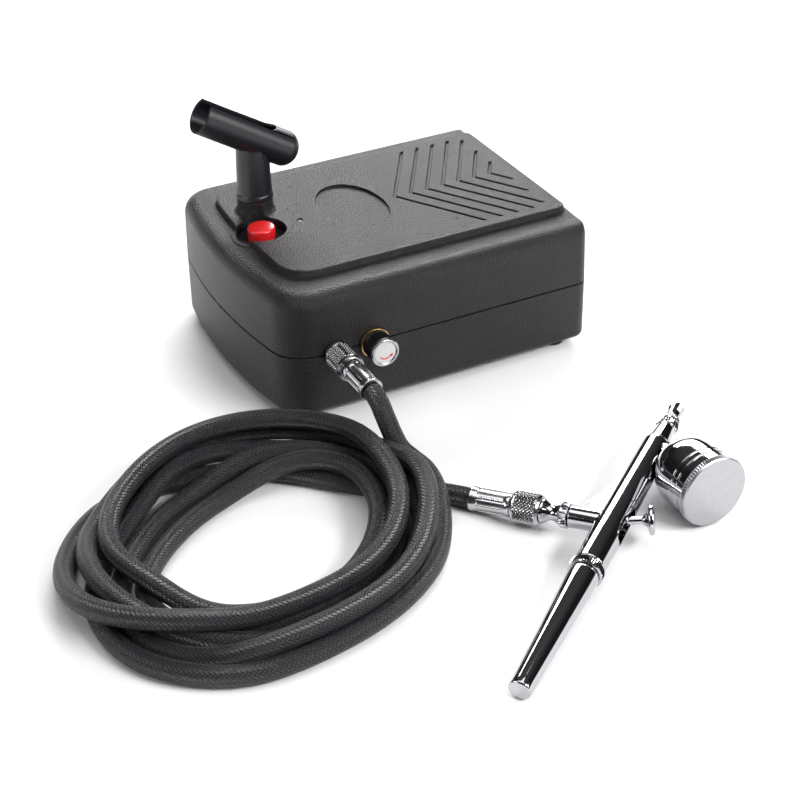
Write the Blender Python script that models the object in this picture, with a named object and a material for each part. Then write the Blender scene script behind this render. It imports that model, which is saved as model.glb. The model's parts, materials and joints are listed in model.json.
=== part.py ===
"""Mini airbrush compressor with its coiled hose and gravity-feed airbrush, as separate solids.

Every dimension is in millimetres, and the helpers turn it into metres with MM. +Z is up and z = 0 is
the surface the feet stand on. +X is the side with the hose outlet and the pressure knob, and +Y runs
from the curved front, where the button is, to the back. The airbrush has a frame of its own: its
origin is the centre of the tail's end face, X runs to the nozzle and Z to the cup side.
"""

from math import asin, cos, pi, radians, sin, sqrt

import bmesh
import bpy
from mathutils import Matrix, Vector

MM = 0.001
GAP = 0.3  # between neighbours that touch on the real object
RUN = 0.1  # round a pin that turns in its hole

# Casing
CASE_X = -5.05  # the casing's centre line; the knob sticks out on the other side of x = 0
CASE_LENGTH = 136.0
CASE_HALF_WIDTH = 53.5
FRONT_SAGITTA = 6.3  # how far the front bulges
FRONT_CORNER = 14.0
BACK_CORNER = 5.0
CASE_BOTTOM = 3.5
PARTING = 28.7
SHOULDER = 54.7
PANEL_TOP = 57.1
WALL = 2.2
ROOF = 52.3  # the inner side of the shoulder
SIDE_FILLET = 6.0
PANEL_SIDE = 13.2  # the raised panel's distance from the sides, the front and the back
PANEL_FRONT = 11.7
PANEL_BACK = 2.6
LIP = 1.9
FEET = [(CASE_X + side * x, y) for side in (-1, 1) for x, y in ((43.0, -55.2), (45.5, 57.2))]

BOARD_POSTS = [(7.0, -51.0), (-18.0, -31.0)]

# Features of the top
BUTTON_PLACE = (CASE_X, -48.4)
BUTTON_TOP = 58.6
BUTTON_RADIUS = 5.35
WELL_RADIUS = 9.8
WELL_FLOOR = 53.1
LED_PLACE = (CASE_X, -32.0)
BADGE_CENTRE = (CASE_X - 0.8, -8.8)
BADGE_HALF = (20.3, 13.0)
CHEVRONS = 7
CHEVRON_FIRST = 9.4
CHEVRON_PITCH = 7.22
CHEVRON_HALF_SPAN = 35.3
CHEVRON_BACK = 58.3
CHEVRON_RISE = 0.61  # how far an arm runs back for each millimetre sideways

# Airbrush holder
HOLDER_PLACE = (-20.85, -43.8)
SOCKET_TOP = 63.2
CRADLE_HEIGHT = 89.0
CRADLE_TILT = radians(32.0)
CRADLE_RADIUS = 7.1
CRADLE_BORE = 5.9
CRADLE_FRONT = 23.6
CRADLE_NOSE = 21.0

# Side fittings, on the parting line
SIDE_X = CASE_X + CASE_HALF_WIDTH
FITTING_Z = 29.0
OUTLET_Y = -43.5
KNOB_Y = -27.5
NUT_END = 62.7
FERRULE_START = 63.05
FERRULE_END = 78.65
HOSE_DIAMETER = 7.3
HOSE_CLEARANCE = 0.4  # between the coil and the two single strands

# Pump
MOTOR_AXIS = (-36.0, 27.0)
GEAR_AXIS = (-14.0, 27.0)
TOOTH_MODULE = 0.8
PINION_TEETH = 11
GEAR_TEETH = 44
GEAR_FRONT = 0.0
GEAR_BACK = 5.0
FRAME_FRONT = 5.8
FRAME_BACK = 8.8
CRANK_THROW = 3.0
ROD_LENGTH = 28.0
ROD_FRONT = -7.9
ROD_BACK = -2.9
CYLINDER_Y = -5.5
CYLINDER_START = 10.0
CYLINDER_END = 32.0
PISTON_START = 15.0
PISTON_CROWN = 29.0

# Airbrush, in its own frame
BRUSH_ORIGIN = (217.48, -63.55, 3.8)
BRUSH_AXIS = (-0.6071, 0.7918, 0.0673)
BRUSH_UP = (0.7939, 0.6006, 0.0946)
BRUSH_LENGTH = 155.4
TAIL_RADIUS = 3.8
BODY_START = 61.0
BODY_END = 132.0
BODY_RADIUS = 5.65
VALVE_AT = 85.1
FAIRING_END = 119.5
FAIRING_SAG = 1.4
CUP_AT = 130.8
CUP_LEAN = radians(35.4)
CUP_RADIUS = 12.9
CUP_MOUTH = 31.6
LID_TOP = 34.5
TRIGGER_LEAN = radians(20.0)
TRIGGER_PIVOT = -3.5
NECK_START = -15.5
NECK_END = -25.5
BRUSH_NUT_END = -36.4
BRUSH_FERRULE_END = -52.2

# Hose coil: an oval ring that the turns fill
COIL_CENTRE = (114.5, -104.5)
COIL_OUTER = (61.5, 69.5)
COIL_INNER = (32.5, 41.0)
COIL_HEIGHT = 21.0
HOSE_LEAD = [
    (79.7, -43.5, 29.0),
    (82.4, -43.5, 28.2),
    (86.0, -43.3, 25.2),
    (90.0, -42.6, 20.0),
    (93.6, -41.7, 15.3),
    (97.0, -40.8, 12.6),
]
HOSE_TAIL_ROUTE = [
    (118.9, -31.7, 4.1),
    (113.8, -36.6, 3.8),
    (107.5, -44.8, 3.7),
    (98.0, -57.2, 3.7),
    (88.1, -69.5, 3.7),
    (78.5, -82.3, 3.7),
    (70.5, -94.7, 3.7),
]

# Finishes: base colour, roughness, metallic
BLACK_ABS = ((0.035, 0.035, 0.038), 0.55, 0.0)
SATIN_BLACK = ((0.018, 0.019, 0.021), 0.38, 0.0)
RUBBER = ((0.02, 0.02, 0.02), 0.85, 0.0)
RED = ((0.62, 0.012, 0.015), 0.32, 0.0)
CHROME = ((0.86, 0.87, 0.88), 0.07, 1.0)
SATIN_METAL = ((0.78, 0.79, 0.8), 0.28, 1.0)
DARK_CHROME = ((0.2, 0.21, 0.22), 0.2, 1.0)
STEEL = ((0.5, 0.5, 0.51), 0.35, 1.0)
ALUMINIUM = ((0.68, 0.69, 0.7), 0.42, 1.0)
BRASS = ((0.72, 0.5, 0.2), 0.28, 1.0)
NYLON = ((0.78, 0.77, 0.72), 0.5, 0.0)
BOARD_GREEN = ((0.02, 0.14, 0.05), 0.5, 0.0)
MAGNET = ((0.06, 0.06, 0.065), 0.6, 0.2)
COPPER = ((0.6, 0.24, 0.1), 0.35, 1.0)
SILICONE = ((0.75, 0.76, 0.75), 0.4, 0.0)
BRAID = ((0.012, 0.014, 0.018), 0.7, 0.0)
CLEAR_LENS = ((0.3, 0.02, 0.02), 0.25, 0.0)


# ---------------------------------------------------------------- helpers


def clear_scene():
    for obj in list(bpy.data.objects):
        bpy.data.objects.remove(obj, do_unlink=True)


def finish_material(name, finish):
    colour, roughness, metallic = finish
    material = bpy.data.materials.new(name)
    material.use_nodes = True
    shader = material.node_tree.nodes["Principled BSDF"]
    shader.inputs["Base Color"].default_value = (*colour, 1.0)
    shader.inputs["Roughness"].default_value = roughness
    shader.inputs["Metallic"].default_value = metallic
    return material


def empty(name, location, rotation=None):
    holder = bpy.data.objects.new(name, None)
    holder.location = Vector(location) * MM
    if rotation is not None:
        holder.rotation_euler = rotation
    bpy.context.collection.objects.link(holder)
    return holder


def add_object(name, mesh, finish=None, location=(0, 0, 0), rotation=(0, 0, 0), parent=None):
    """Links a mesh as an object. Without a finish it is a hidden cutter or union tool."""
    obj = bpy.data.objects.new(name, mesh)
    obj.location = Vector(location) * MM
    obj.rotation_euler = rotation
    obj.parent = parent
    bpy.context.collection.objects.link(obj)
    if finish is None:
        obj.hide_render = True
        obj.display_type = "WIRE"
    else:
        mesh.materials.append(finish_material(name, finish))
        mesh.shade_smooth()
        mesh.set_sharp_from_angle(angle=radians(32))
    return obj


def mesh_from(bm, name="mesh"):
    bmesh.ops.remove_doubles(bm, verts=bm.verts, dist=1e-7)
    bmesh.ops.recalc_face_normals(bm, faces=bm.faces)
    mesh = bpy.data.meshes.new(name)
    bm.to_mesh(mesh)
    bm.free()
    return mesh


def loft(rings, ends="caps"):
    """A mesh through rings of points with equal counts.

    ends is caps, or loop where the last ring meets the first.
    """
    bm = bmesh.new()
    rows = [[bm.verts.new(Vector(p) * MM) for p in ring] for ring in rings]
    pairs = list(zip(rows, rows[1:]))
    if ends == "loop":
        pairs.append((rows[-1], rows[0]))
    for low, high in pairs:
        count = max(len(low), len(high))
        for i in range(count):
            j = (i + 1) % count
            corners = [low[i % len(low)], low[j % len(low)], high[j % len(high)], high[i % len(high)]]
            bm.faces.new(list(dict.fromkeys(corners)))
    if ends == "caps":
        for row in (rows[0], rows[-1]):
            if len(row) > 2:
                bm.faces.new(row)
    return mesh_from(bm)


def on_axis(axis, along, across, up):
    """A point from its distance along an axis and its two offsets from it."""
    return {"X": (along, across, up), "Y": (across, along, up), "Z": (across, up, along)}[axis]


def lathe(profile, axis="Z", steps=24, teeth=0.0):
    """A turned solid. A profile point is (radius, along) or (radius, along, knurl depth).

    The profile is an open line that starts and ends on the axis, or else a closed loop round a bore.
    """
    rings = []
    for point in profile:
        radius, along = point[:2]
        cut = point[2] if len(point) > 2 else 0.0
        if radius == 0:
            rings.append([on_axis(axis, along, 0, 0)])
            continue
        ring = []
        for i in range(steps):
            turn = 2 * pi * i / steps
            r = radius - cut * (i % 2)
            ring.append(on_axis(axis, along, r * cos(turn), r * sin(turn)))
        rings.append(ring)
    solid = profile[0][0] == 0
    return loft(rings, "caps" if solid else "loop")


def cylinder(radius, start, end, axis="Z", steps=24):
    return lathe([(0, start), (radius, start), (radius, end), (0, end)], axis, steps)


def ring_tube(outer, inner, start, end, axis="Z", steps=24):
    return lathe([(outer, start), (outer, end), (inner, end), (inner, start)], axis, steps)


def prism(outline, start, end, axis="Z"):
    """An outline extruded along an axis."""
    return loft([[on_axis(axis, along, u, v) for u, v in outline] for along in (start, end)])


def block(low, high):
    (x0, y0, z0), (x1, y1, z1) = low, high
    return prism([(x0, y0), (x1, y0), (x1, y1), (x0, y1)], z0, z1)


def chamfered(width, height, cut, centre=(0, 0)):
    """A rectangle's outline with its corners cut off."""
    w, h = width / 2, height / 2
    corners = [(w, -h + cut), (w, h - cut), (w - cut, h), (-w + cut, h)]
    corners += [(-w, h - cut), (-w, -h + cut), (-w + cut, -h), (w - cut, -h)]
    return [(x + centre[0], y + centre[1]) for x, y in corners]


def boolean(obj, tool, operation):
    modifier = obj.modifiers.new(f"{operation.lower()}_{tool.name}", "BOOLEAN")
    modifier.operation = operation
    modifier.solver = "EXACT"
    modifier.object = tool


def cut(obj, mesh, **place):
    boolean(obj, add_object(f"{obj.name}_cutter", mesh, **place), "DIFFERENCE")


def join(obj, mesh, **place):
    boolean(obj, add_object(f"{obj.name}_joined", mesh, **place), "UNION")


def smooth_route(points, samples):
    """Points at even lengths along a smooth curve through the given points."""
    route = [Vector(p) for p in points]
    padded = [route[0] * 2 - route[1], *route, route[-1] * 2 - route[-2]]
    fine = []
    for a, b, c, d in zip(padded, padded[1:], padded[2:], padded[3:]):
        for i in range(24):
            t = i / 24
            fine.append(
                0.5
                * (
                    2 * b
                    + (c - a) * t
                    + (2 * a - 5 * b + 4 * c - d) * t**2
                    + (3 * b - a - 3 * c + d) * t**3
                )
            )
    fine.append(route[-1])
    lengths = [0.0]
    for a, b in zip(fine, fine[1:]):
        lengths.append(lengths[-1] + (b - a).length)
    even = []
    j = 0
    for i in range(samples):
        goal = lengths[-1] * i / (samples - 1)
        while j < len(fine) - 2 and lengths[j + 1] < goal:
            j += 1
        even.append(fine[j].lerp(fine[j + 1], (goal - lengths[j]) / (lengths[j + 1] - lengths[j])))
    return even


def tube(name, points, radius, finish, resolution=2):
    curve = bpy.data.curves.new(name, "CURVE")
    curve.dimensions = "3D"
    curve.bevel_depth = radius * MM
    curve.bevel_resolution = resolution
    curve.use_fill_caps = True
    spline = curve.splines.new("POLY")
    spline.points.add(len(points) - 1)
    for target, point in zip(spline.points, points):
        target.co = (*(Vector(point) * MM), 1.0)
    obj = bpy.data.objects.new(name, curve)
    bpy.context.collection.objects.link(obj)
    curve.materials.append(finish_material(name, finish))
    return obj


def swept_round(points, radius, steps=12):
    """A closed round bar along a route, for cutting the way that a hose takes."""
    rings = []
    for i, point in enumerate(points):
        ahead = points[min(i + 1, len(points) - 1)] - points[max(i - 1, 0)]
        side = ahead.cross(Vector((0, 0, 1))).normalized()
        up = side.cross(ahead).normalized()
        turns = [2 * pi * k / steps for k in range(steps)]
        rings.append([point + radius * (cos(t) * side + sin(t) * up) for t in turns])
    return loft(rings)


# ---------------------------------------------------------------- casing


def case_outline(side, front, back, corner=0.0, sagitta=FRONT_SAGITTA):
    """The casing's plan, moved in by side, front and back, with its corners rounded."""
    half = CASE_HALF_WIDTH - side
    front_y = -CASE_LENGTH / 2 + front
    back_y = CASE_LENGTH / 2 - back
    front_radius = max(FRONT_CORNER - corner, 1.0)
    back_radius = max(BACK_CORNER - corner, 1.0)
    arc = (CASE_HALF_WIDTH**2 + sagitta**2) / (2 * sagitta)
    corner_x = half - front_radius
    corner_y = front_y + arc - sqrt((arc - front_radius) ** 2 - corner_x**2)
    swing = asin(corner_x / (arc - front_radius))
    points = []
    for i in range(9):
        turn = swing * (i / 4 - 1)
        points.append((arc * sin(turn), front_y + arc - arc * cos(turn)))
    for i in range(1, 5):
        turn = -pi / 2 + swing + (pi / 2 - swing) * i / 4
        points.append((corner_x + front_radius * cos(turn), corner_y + front_radius * sin(turn)))
    for centre_x, start in ((half - back_radius, 0), (back_radius - half, pi / 2)):
        for i in range(4):
            turn = start + pi / 2 * i / 3
            point = (centre_x + back_radius * cos(turn), back_y - back_radius + back_radius * sin(turn))
            points.append(point)
    for i in range(4):
        turn = pi + (pi / 2 - swing) * i / 4
        points.append((-corner_x + front_radius * cos(turn), corner_y + front_radius * sin(turn)))
    return [(x + CASE_X, y) for x, y in points]


def case_ring(z, side, front=None, back=None, corner=None, sagitta=FRONT_SAGITTA):
    front = side if front is None else front
    back = side if back is None else back
    corner = side if corner is None else corner
    return [(x, y, z) for x, y in case_outline(side, front, back, corner, sagitta)]


def panel_ring(z, inset):
    """The raised panel's outline, which stops just short of the back."""
    return case_ring(z, PANEL_SIDE + inset, PANEL_FRONT + inset, PANEL_BACK + inset, 1.0 + inset, 4.6)


def lower_case():
    floor = CASE_BOTTOM + WALL
    top = PARTING - GAP / 2
    rings = [case_ring(CASE_BOTTOM, 2.6)]
    for i in range(1, 4):
        turn = pi / 2 * i / 3
        rings.append(case_ring(CASE_BOTTOM + 2.4 * (1 - cos(turn)), 2.6 - 2.4 * sin(turn) + 0.2))
    rings += [
        case_ring(top, 0.0),
        case_ring(top, WALL + GAP),
        case_ring(top + LIP, WALL + GAP),
        case_ring(top + LIP, WALL + 1.5),
        case_ring(top - 1.5, WALL + 1.5),
        case_ring(top - 2.8, WALL),
        case_ring(floor + 1.5, WALL + 0.2),
        case_ring(floor, WALL + 1.8),
    ]
    obj = add_object("lower_case", loft(rings), BLACK_ABS)
    for x, y in FEET:
        join(obj, cylinder(4.9, floor - 0.6, 30.6, steps=14), location=(x, y, 0))
    for x, y in FEET:
        bore = [
            (0, CASE_BOTTOM - 1),
            (4.3, CASE_BOTTOM - 1),
            (4.3, CASE_BOTTOM + 1.2),
            (3.2, CASE_BOTTOM + 1.2),
            (3.2, 12.6),
            (1.7, 12.6),
            (1.7, 33.0),
            (0, 33.0),
        ]
        cut(obj, lathe(bore, steps=12), location=(x, y, 0))
    cut(obj, side_holes())
    cut(obj, cylinder(3.9, 60.0, 70.0, "Y", 20), location=(15.0, 0, 19.0))
    return obj


def side_holes():
    """The outlet's and the knob's holes, half in each shell, as two separate bars."""
    bm = bmesh.new()
    for y, radius in ((OUTLET_Y, 4.2), (KNOB_Y, 3.4)):
        part = cylinder(radius, SIDE_X - 4, SIDE_X + 2, "X", 20)
        part.transform(Matrix.Translation(Vector((0, y, FITTING_Z)) * MM))
        bm.from_mesh(part)
    return mesh_from(bm)


def chevron(apex):
    """One V-shaped groove's outline, its arms cut off square to the panel's back and sides."""
    reach = min(CHEVRON_HALF_SPAN, (CHEVRON_BACK - apex) / CHEVRON_RISE)
    wide = 1.35
    far = apex + CHEVRON_RISE * reach
    return [
        (CASE_X, apex - wide / 2),
        (CASE_X + reach, far - wide / 2),
        (CASE_X + reach, far + wide / 2),
        (CASE_X, apex + wide / 2),
        (CASE_X - reach, far + wide / 2),
        (CASE_X - reach, far - wide / 2),
    ]


def upper_case():
    base = PARTING + GAP / 2
    roof_inset = 4.0
    rings = [
        case_ring(PANEL_TOP - 2.4, PANEL_SIDE + 2.4, PANEL_FRONT + 2.4, 6.0, 5.0, 4.6),
        case_ring(ROOF, PANEL_SIDE + 2.4, PANEL_FRONT + 2.4, 6.0, 5.0, 4.6),
        case_ring(ROOF, WALL + roof_inset, corner=WALL),
        case_ring(ROOF - 1.6, WALL + 1.2, corner=WALL),
        case_ring(ROOF - 5.0, WALL + 0.3, corner=WALL),
        case_ring(base, WALL),
        case_ring(base, 0.0),
    ]
    for i in range(5):
        turn = pi / 2 * i / 4
        inset = 0.4 + SIDE_FILLET * (1 - cos(turn))
        back = 0.4 + 2.0 * (1 - cos(turn))
        height = SHOULDER - 0.4 - SIDE_FILLET * (1 - sin(turn))
        rings.append(case_ring(height, inset, inset, back, inset))
    rings.append(panel_ring(SHOULDER, 0.0))
    rings.append(panel_ring(PANEL_TOP - 0.5, 0.5))
    rings.append(panel_ring(PANEL_TOP, 1.1))
    obj = add_object("upper_case", loft(rings), BLACK_ABS)

    join(obj, cylinder(11.6, 50.6, 54.9, steps=28), location=(*BUTTON_PLACE, 0))
    join(obj, cylinder(7.0, 44.0, SOCKET_TOP, steps=28), location=(*HOLDER_PLACE, 0))
    for x, y in FEET:
        join(obj, cylinder(4.1, 31.3, 52.9, steps=12), location=(x, y, 0))
    for x, y in BOARD_POSTS:
        join(obj, cylinder(2.0, 42.3, 55.2, steps=10), location=(x, y, 0))

    cut(obj, cylinder(WELL_RADIUS, WELL_FLOOR, 62.0, steps=32), location=(*BUTTON_PLACE, 0))
    cut(obj, cylinder(BUTTON_RADIUS + 0.4, 48.0, 60.0), location=(*BUTTON_PLACE, 0))
    cut(obj, cylinder(5.2, 46.5, 66.0), location=(*HOLDER_PLACE, 0))
    cut(obj, cylinder(1.7, 50.0, 60.0, steps=12), location=(*LED_PLACE, 0))
    oval = [
        (BADGE_HALF[0] * cos(2 * pi * i / 36), BADGE_HALF[1] * sin(2 * pi * i / 36)) for i in range(36)
    ]
    cut(obj, prism(oval, PANEL_TOP - 0.7, PANEL_TOP + 1), location=(*BADGE_CENTRE, 0))
    for x, y in FEET:
        cut(obj, cylinder(1.7, 30.0, 46.0, steps=10), location=(x, y, 0))
    cut(obj, side_holes())
    for i in range(CHEVRONS):
        groove = prism(chevron(CHEVRON_FIRST + i * CHEVRON_PITCH), PANEL_TOP - 0.9, PANEL_TOP + 1)
        cut(obj, groove)
    return obj


def feet_and_screws():
    for i, (x, y) in enumerate(FEET, 1):
        foot = [
            (0, 0),
            (3.5, 0),
            (3.8, 0.3),
            (4.0, CASE_BOTTOM + 0.9),
            (2.8, CASE_BOTTOM + 0.9),
            (2.6, 9.4),
            (0, 9.4),
        ]
        add_object(f"rubber_foot_{i}", lathe(foot, steps=14), RUBBER, location=(x, y, 0))
        screw = [(0, 10.0), (2.8, 10.0), (2.8, 12.2), (1.35, 12.4), (1.35, 44.0), (0, 45.0)]
        obj = add_object(f"case_screw_{i}", lathe(screw, steps=10), STEEL, location=(x, y, 0))
        cross = [(0.4, 0.4), (0.4, 1.8), (-0.4, 1.8), (-0.4, 0.4), (-1.8, 0.4), (-1.8, -0.4)]
        cross += [(-x1, -y1) for x1, y1 in cross]
        cut(obj, prism(cross, 9.0, 11.2), location=(x, y, 0))


# ---------------------------------------------------------------- controls


def button_and_electrics():
    x, y = BUTTON_PLACE
    cap = [
        (0, 46.0),
        (1.5, 46.0),
        (1.5, 51.2),
        (BUTTON_RADIUS, 51.2),
        (BUTTON_RADIUS, BUTTON_TOP - 0.9),
        (BUTTON_RADIUS - 0.9, BUTTON_TOP),
        (0, BUTTON_TOP),
    ]
    add_object("power_button", lathe(cap, steps=32), RED, location=(x, y, 0))
    switch = add_object(
        "switch_body", prism(chamfered(8.6, 8.6, 0.6), 42.3, 48.2), SATIN_BLACK, location=(x, y, 0)
    )
    cut(switch, cylinder(1.9, 43.2, 50.0, steps=16), location=(x, y, 0))

    lens = [(0, 42.3), (1.4, 42.3), (1.4, 56.6), (1.0, 57.0), (0, 57.1)]
    add_object("power_led", lathe(lens, steps=12), CLEAR_LENS, location=(*LED_PLACE, 0))
    board = prism(chamfered(34.0, 34.0, 1.5), 40.4, 42.0)
    add_object("control_board", board, BOARD_GREEN, location=(x, -44.0, 0))

    jack = add_object("dc_jack", block((10.5, 54.0, 13.5), (19.5, 65.3, 24.5)), SATIN_BLACK)
    join(jack, cylinder(3.6, 64.0, 67.8, "Y", 20), location=(15.0, 0, 19.0))
    barrel = lathe([(0, 67.0), (0.9, 66.5), (0.9, 56.5), (2.75, 56.5), (2.75, 69.0), (0, 69.0)], "Y", 16)
    cut(jack, barrel, location=(15.0, 0, 19.0))


def side_fittings():
    block_end = SIDE_X - WALL - 1.9
    valve = add_object("valve_block", block((36.2, -50.0, 21.5), (block_end, -20.0, 36.5)), ALUMINIUM)
    join(valve, cylinder(1.8, 36.0, 39.5, steps=12), location=(41.0, -35.2, 0))
    for y, radius, start in ((OUTLET_Y, 3.9, 38.0), (KNOB_Y, 2.4, 37.6)):
        bore = cylinder(radius, start, block_end + 2, "X", 20)
        cut(valve, bore, location=(0, y, FITTING_Z))

    fitting = [
        (1.5, 38.6),
        (3.6, 38.6),
        (3.6, SIDE_X + GAP),
        (5.0, SIDE_X + GAP),
        (5.0, SIDE_X + 1.9),
        (3.6, SIDE_X + 1.9),
        (3.6, 56.0),
        (1.5, 56.0),
    ]
    place = {"location": (0, OUTLET_Y, FITTING_Z)}
    add_object("outlet_fitting", lathe(fitting, "X", 18), DARK_CHROME, **place)
    nut = [
        (3.9, SIDE_X + 2.2),
        (4.6, SIDE_X + 2.2),
        (5.35, SIDE_X + 3.0, 0.35),
        (5.35, NUT_END - 2.0, 0.35),
        (5.2, NUT_END - 1.7),
        (5.2, NUT_END - 0.4),
        (4.8, NUT_END),
        (2.7, NUT_END),
        (2.7, 57.2),
        (3.9, 57.2),
    ]
    add_object("outlet_nut", lathe(nut, "X", 28), DARK_CHROME, **place)
    ferrule = [
        (1.5, 57.6),
        (2.4, 57.6),
        (2.4, FERRULE_START),
        (3.9, FERRULE_START),
        (4.3, FERRULE_START + 0.4),
        (4.3, FERRULE_END - 1.2),
        (4.6, FERRULE_END),
        (1.5, FERRULE_END),
    ]
    add_object("outlet_ferrule", lathe(ferrule, "X", 18), SATIN_METAL, **place)

    place = {"location": (0, KNOB_Y, FITTING_Z)}
    collar = ring_tube(6.0, 2.6, SIDE_X + GAP, SIDE_X + 1.9, "X", 20)
    add_object("knob_collar", collar, BRASS, **place)
    add_object("regulator_stem", cylinder(2.2, 38.4, 55.4, "X", 16), BRASS, **place)
    skirt = [(0, 57.0), (5.2, 57.0), (5.6, 56.6, 0.4), (5.6, SIDE_X + 2.6, 0.4)]
    skirt += [(5.3, SIDE_X + 2.2), (2.4, SIDE_X + 2.2), (2.4, 55.7), (0, 55.7)]
    add_object("pressure_knob", lathe(skirt, "X", 28), SATIN_BLACK, **place)
    cap = [(0, 57.3), (5.4, 57.3), (5.75, 57.6), (5.75, 58.2)]
    cap += [(5.4, 58.55), (4.6, 58.55), (4.5, 58.1), (0, 58.1)]
    add_object("knob_cap", lathe(cap, "X", 24), CHROME, **place)


# ---------------------------------------------------------------- airbrush holder


def airbrush_holder():
    spigot = [(0, 47.5), (4.8, 47.5), (4.8, SOCKET_TOP + GAP)]
    collar = [(7.3, SOCKET_TOP + GAP), (7.3, SOCKET_TOP + 2.2)]
    post = spigot + collar + [(6.9, SOCKET_TOP + 2.8), (6.6, 84.0), (6.2, 89.0), (0, 89.0)]
    place = {"location": (*HOLDER_PLACE, 0)}
    obj = add_object("airbrush_holder", lathe(post, steps=28), SATIN_BLACK, **place)
    tilted = {
        "location": (*HOLDER_PLACE, CRADLE_HEIGHT),
        "rotation": (-CRADLE_TILT, 0, 0),
    }
    nose = [(0, CRADLE_NOSE), (2.6, CRADLE_NOSE - 0.4), (4.7, CRADLE_NOSE - 1.5), (6.2, CRADLE_NOSE - 3.2)]
    nose += [(CRADLE_RADIUS, CRADLE_NOSE - 5.6), (CRADLE_RADIUS, -CRADLE_FRONT), (0, -CRADLE_FRONT)]
    join(obj, lathe(nose, "Y", 28), **tilted)
    cut(obj, cylinder(CRADLE_BORE, -CRADLE_FRONT - 3, 13.0, "Y", 28), **tilted)
    slot = [(-4.3, -CRADLE_FRONT - 3), (4.3, -CRADLE_FRONT - 3)]
    slot += [(4.3 * cos(turn), 3.6 + 4.3 * sin(turn)) for turn in (0, pi / 4, pi / 2, 3 * pi / 4, pi)]
    cut(obj, prism(slot, 0.0, 12.0), **tilted)


# ---------------------------------------------------------------- pump


def gear_outline(teeth, phase=0.0):
    """A spur gear's outline with straight flanks, its first tooth's middle at the phase angle."""
    pitch = teeth * TOOTH_MODULE / 2
    tip = pitch + 0.9 * TOOTH_MODULE
    root = pitch - 1.2 * TOOTH_MODULE
    step = 2 * pi / teeth
    corners = ((-0.34, root), (-0.11, tip), (0.11, tip), (0.34, root))
    points = []
    for i in range(teeth):
        for share, radius in corners:
            turn = phase + step * (i + share)
            points.append((radius * cos(turn), radius * sin(turn)))
    return points


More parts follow.
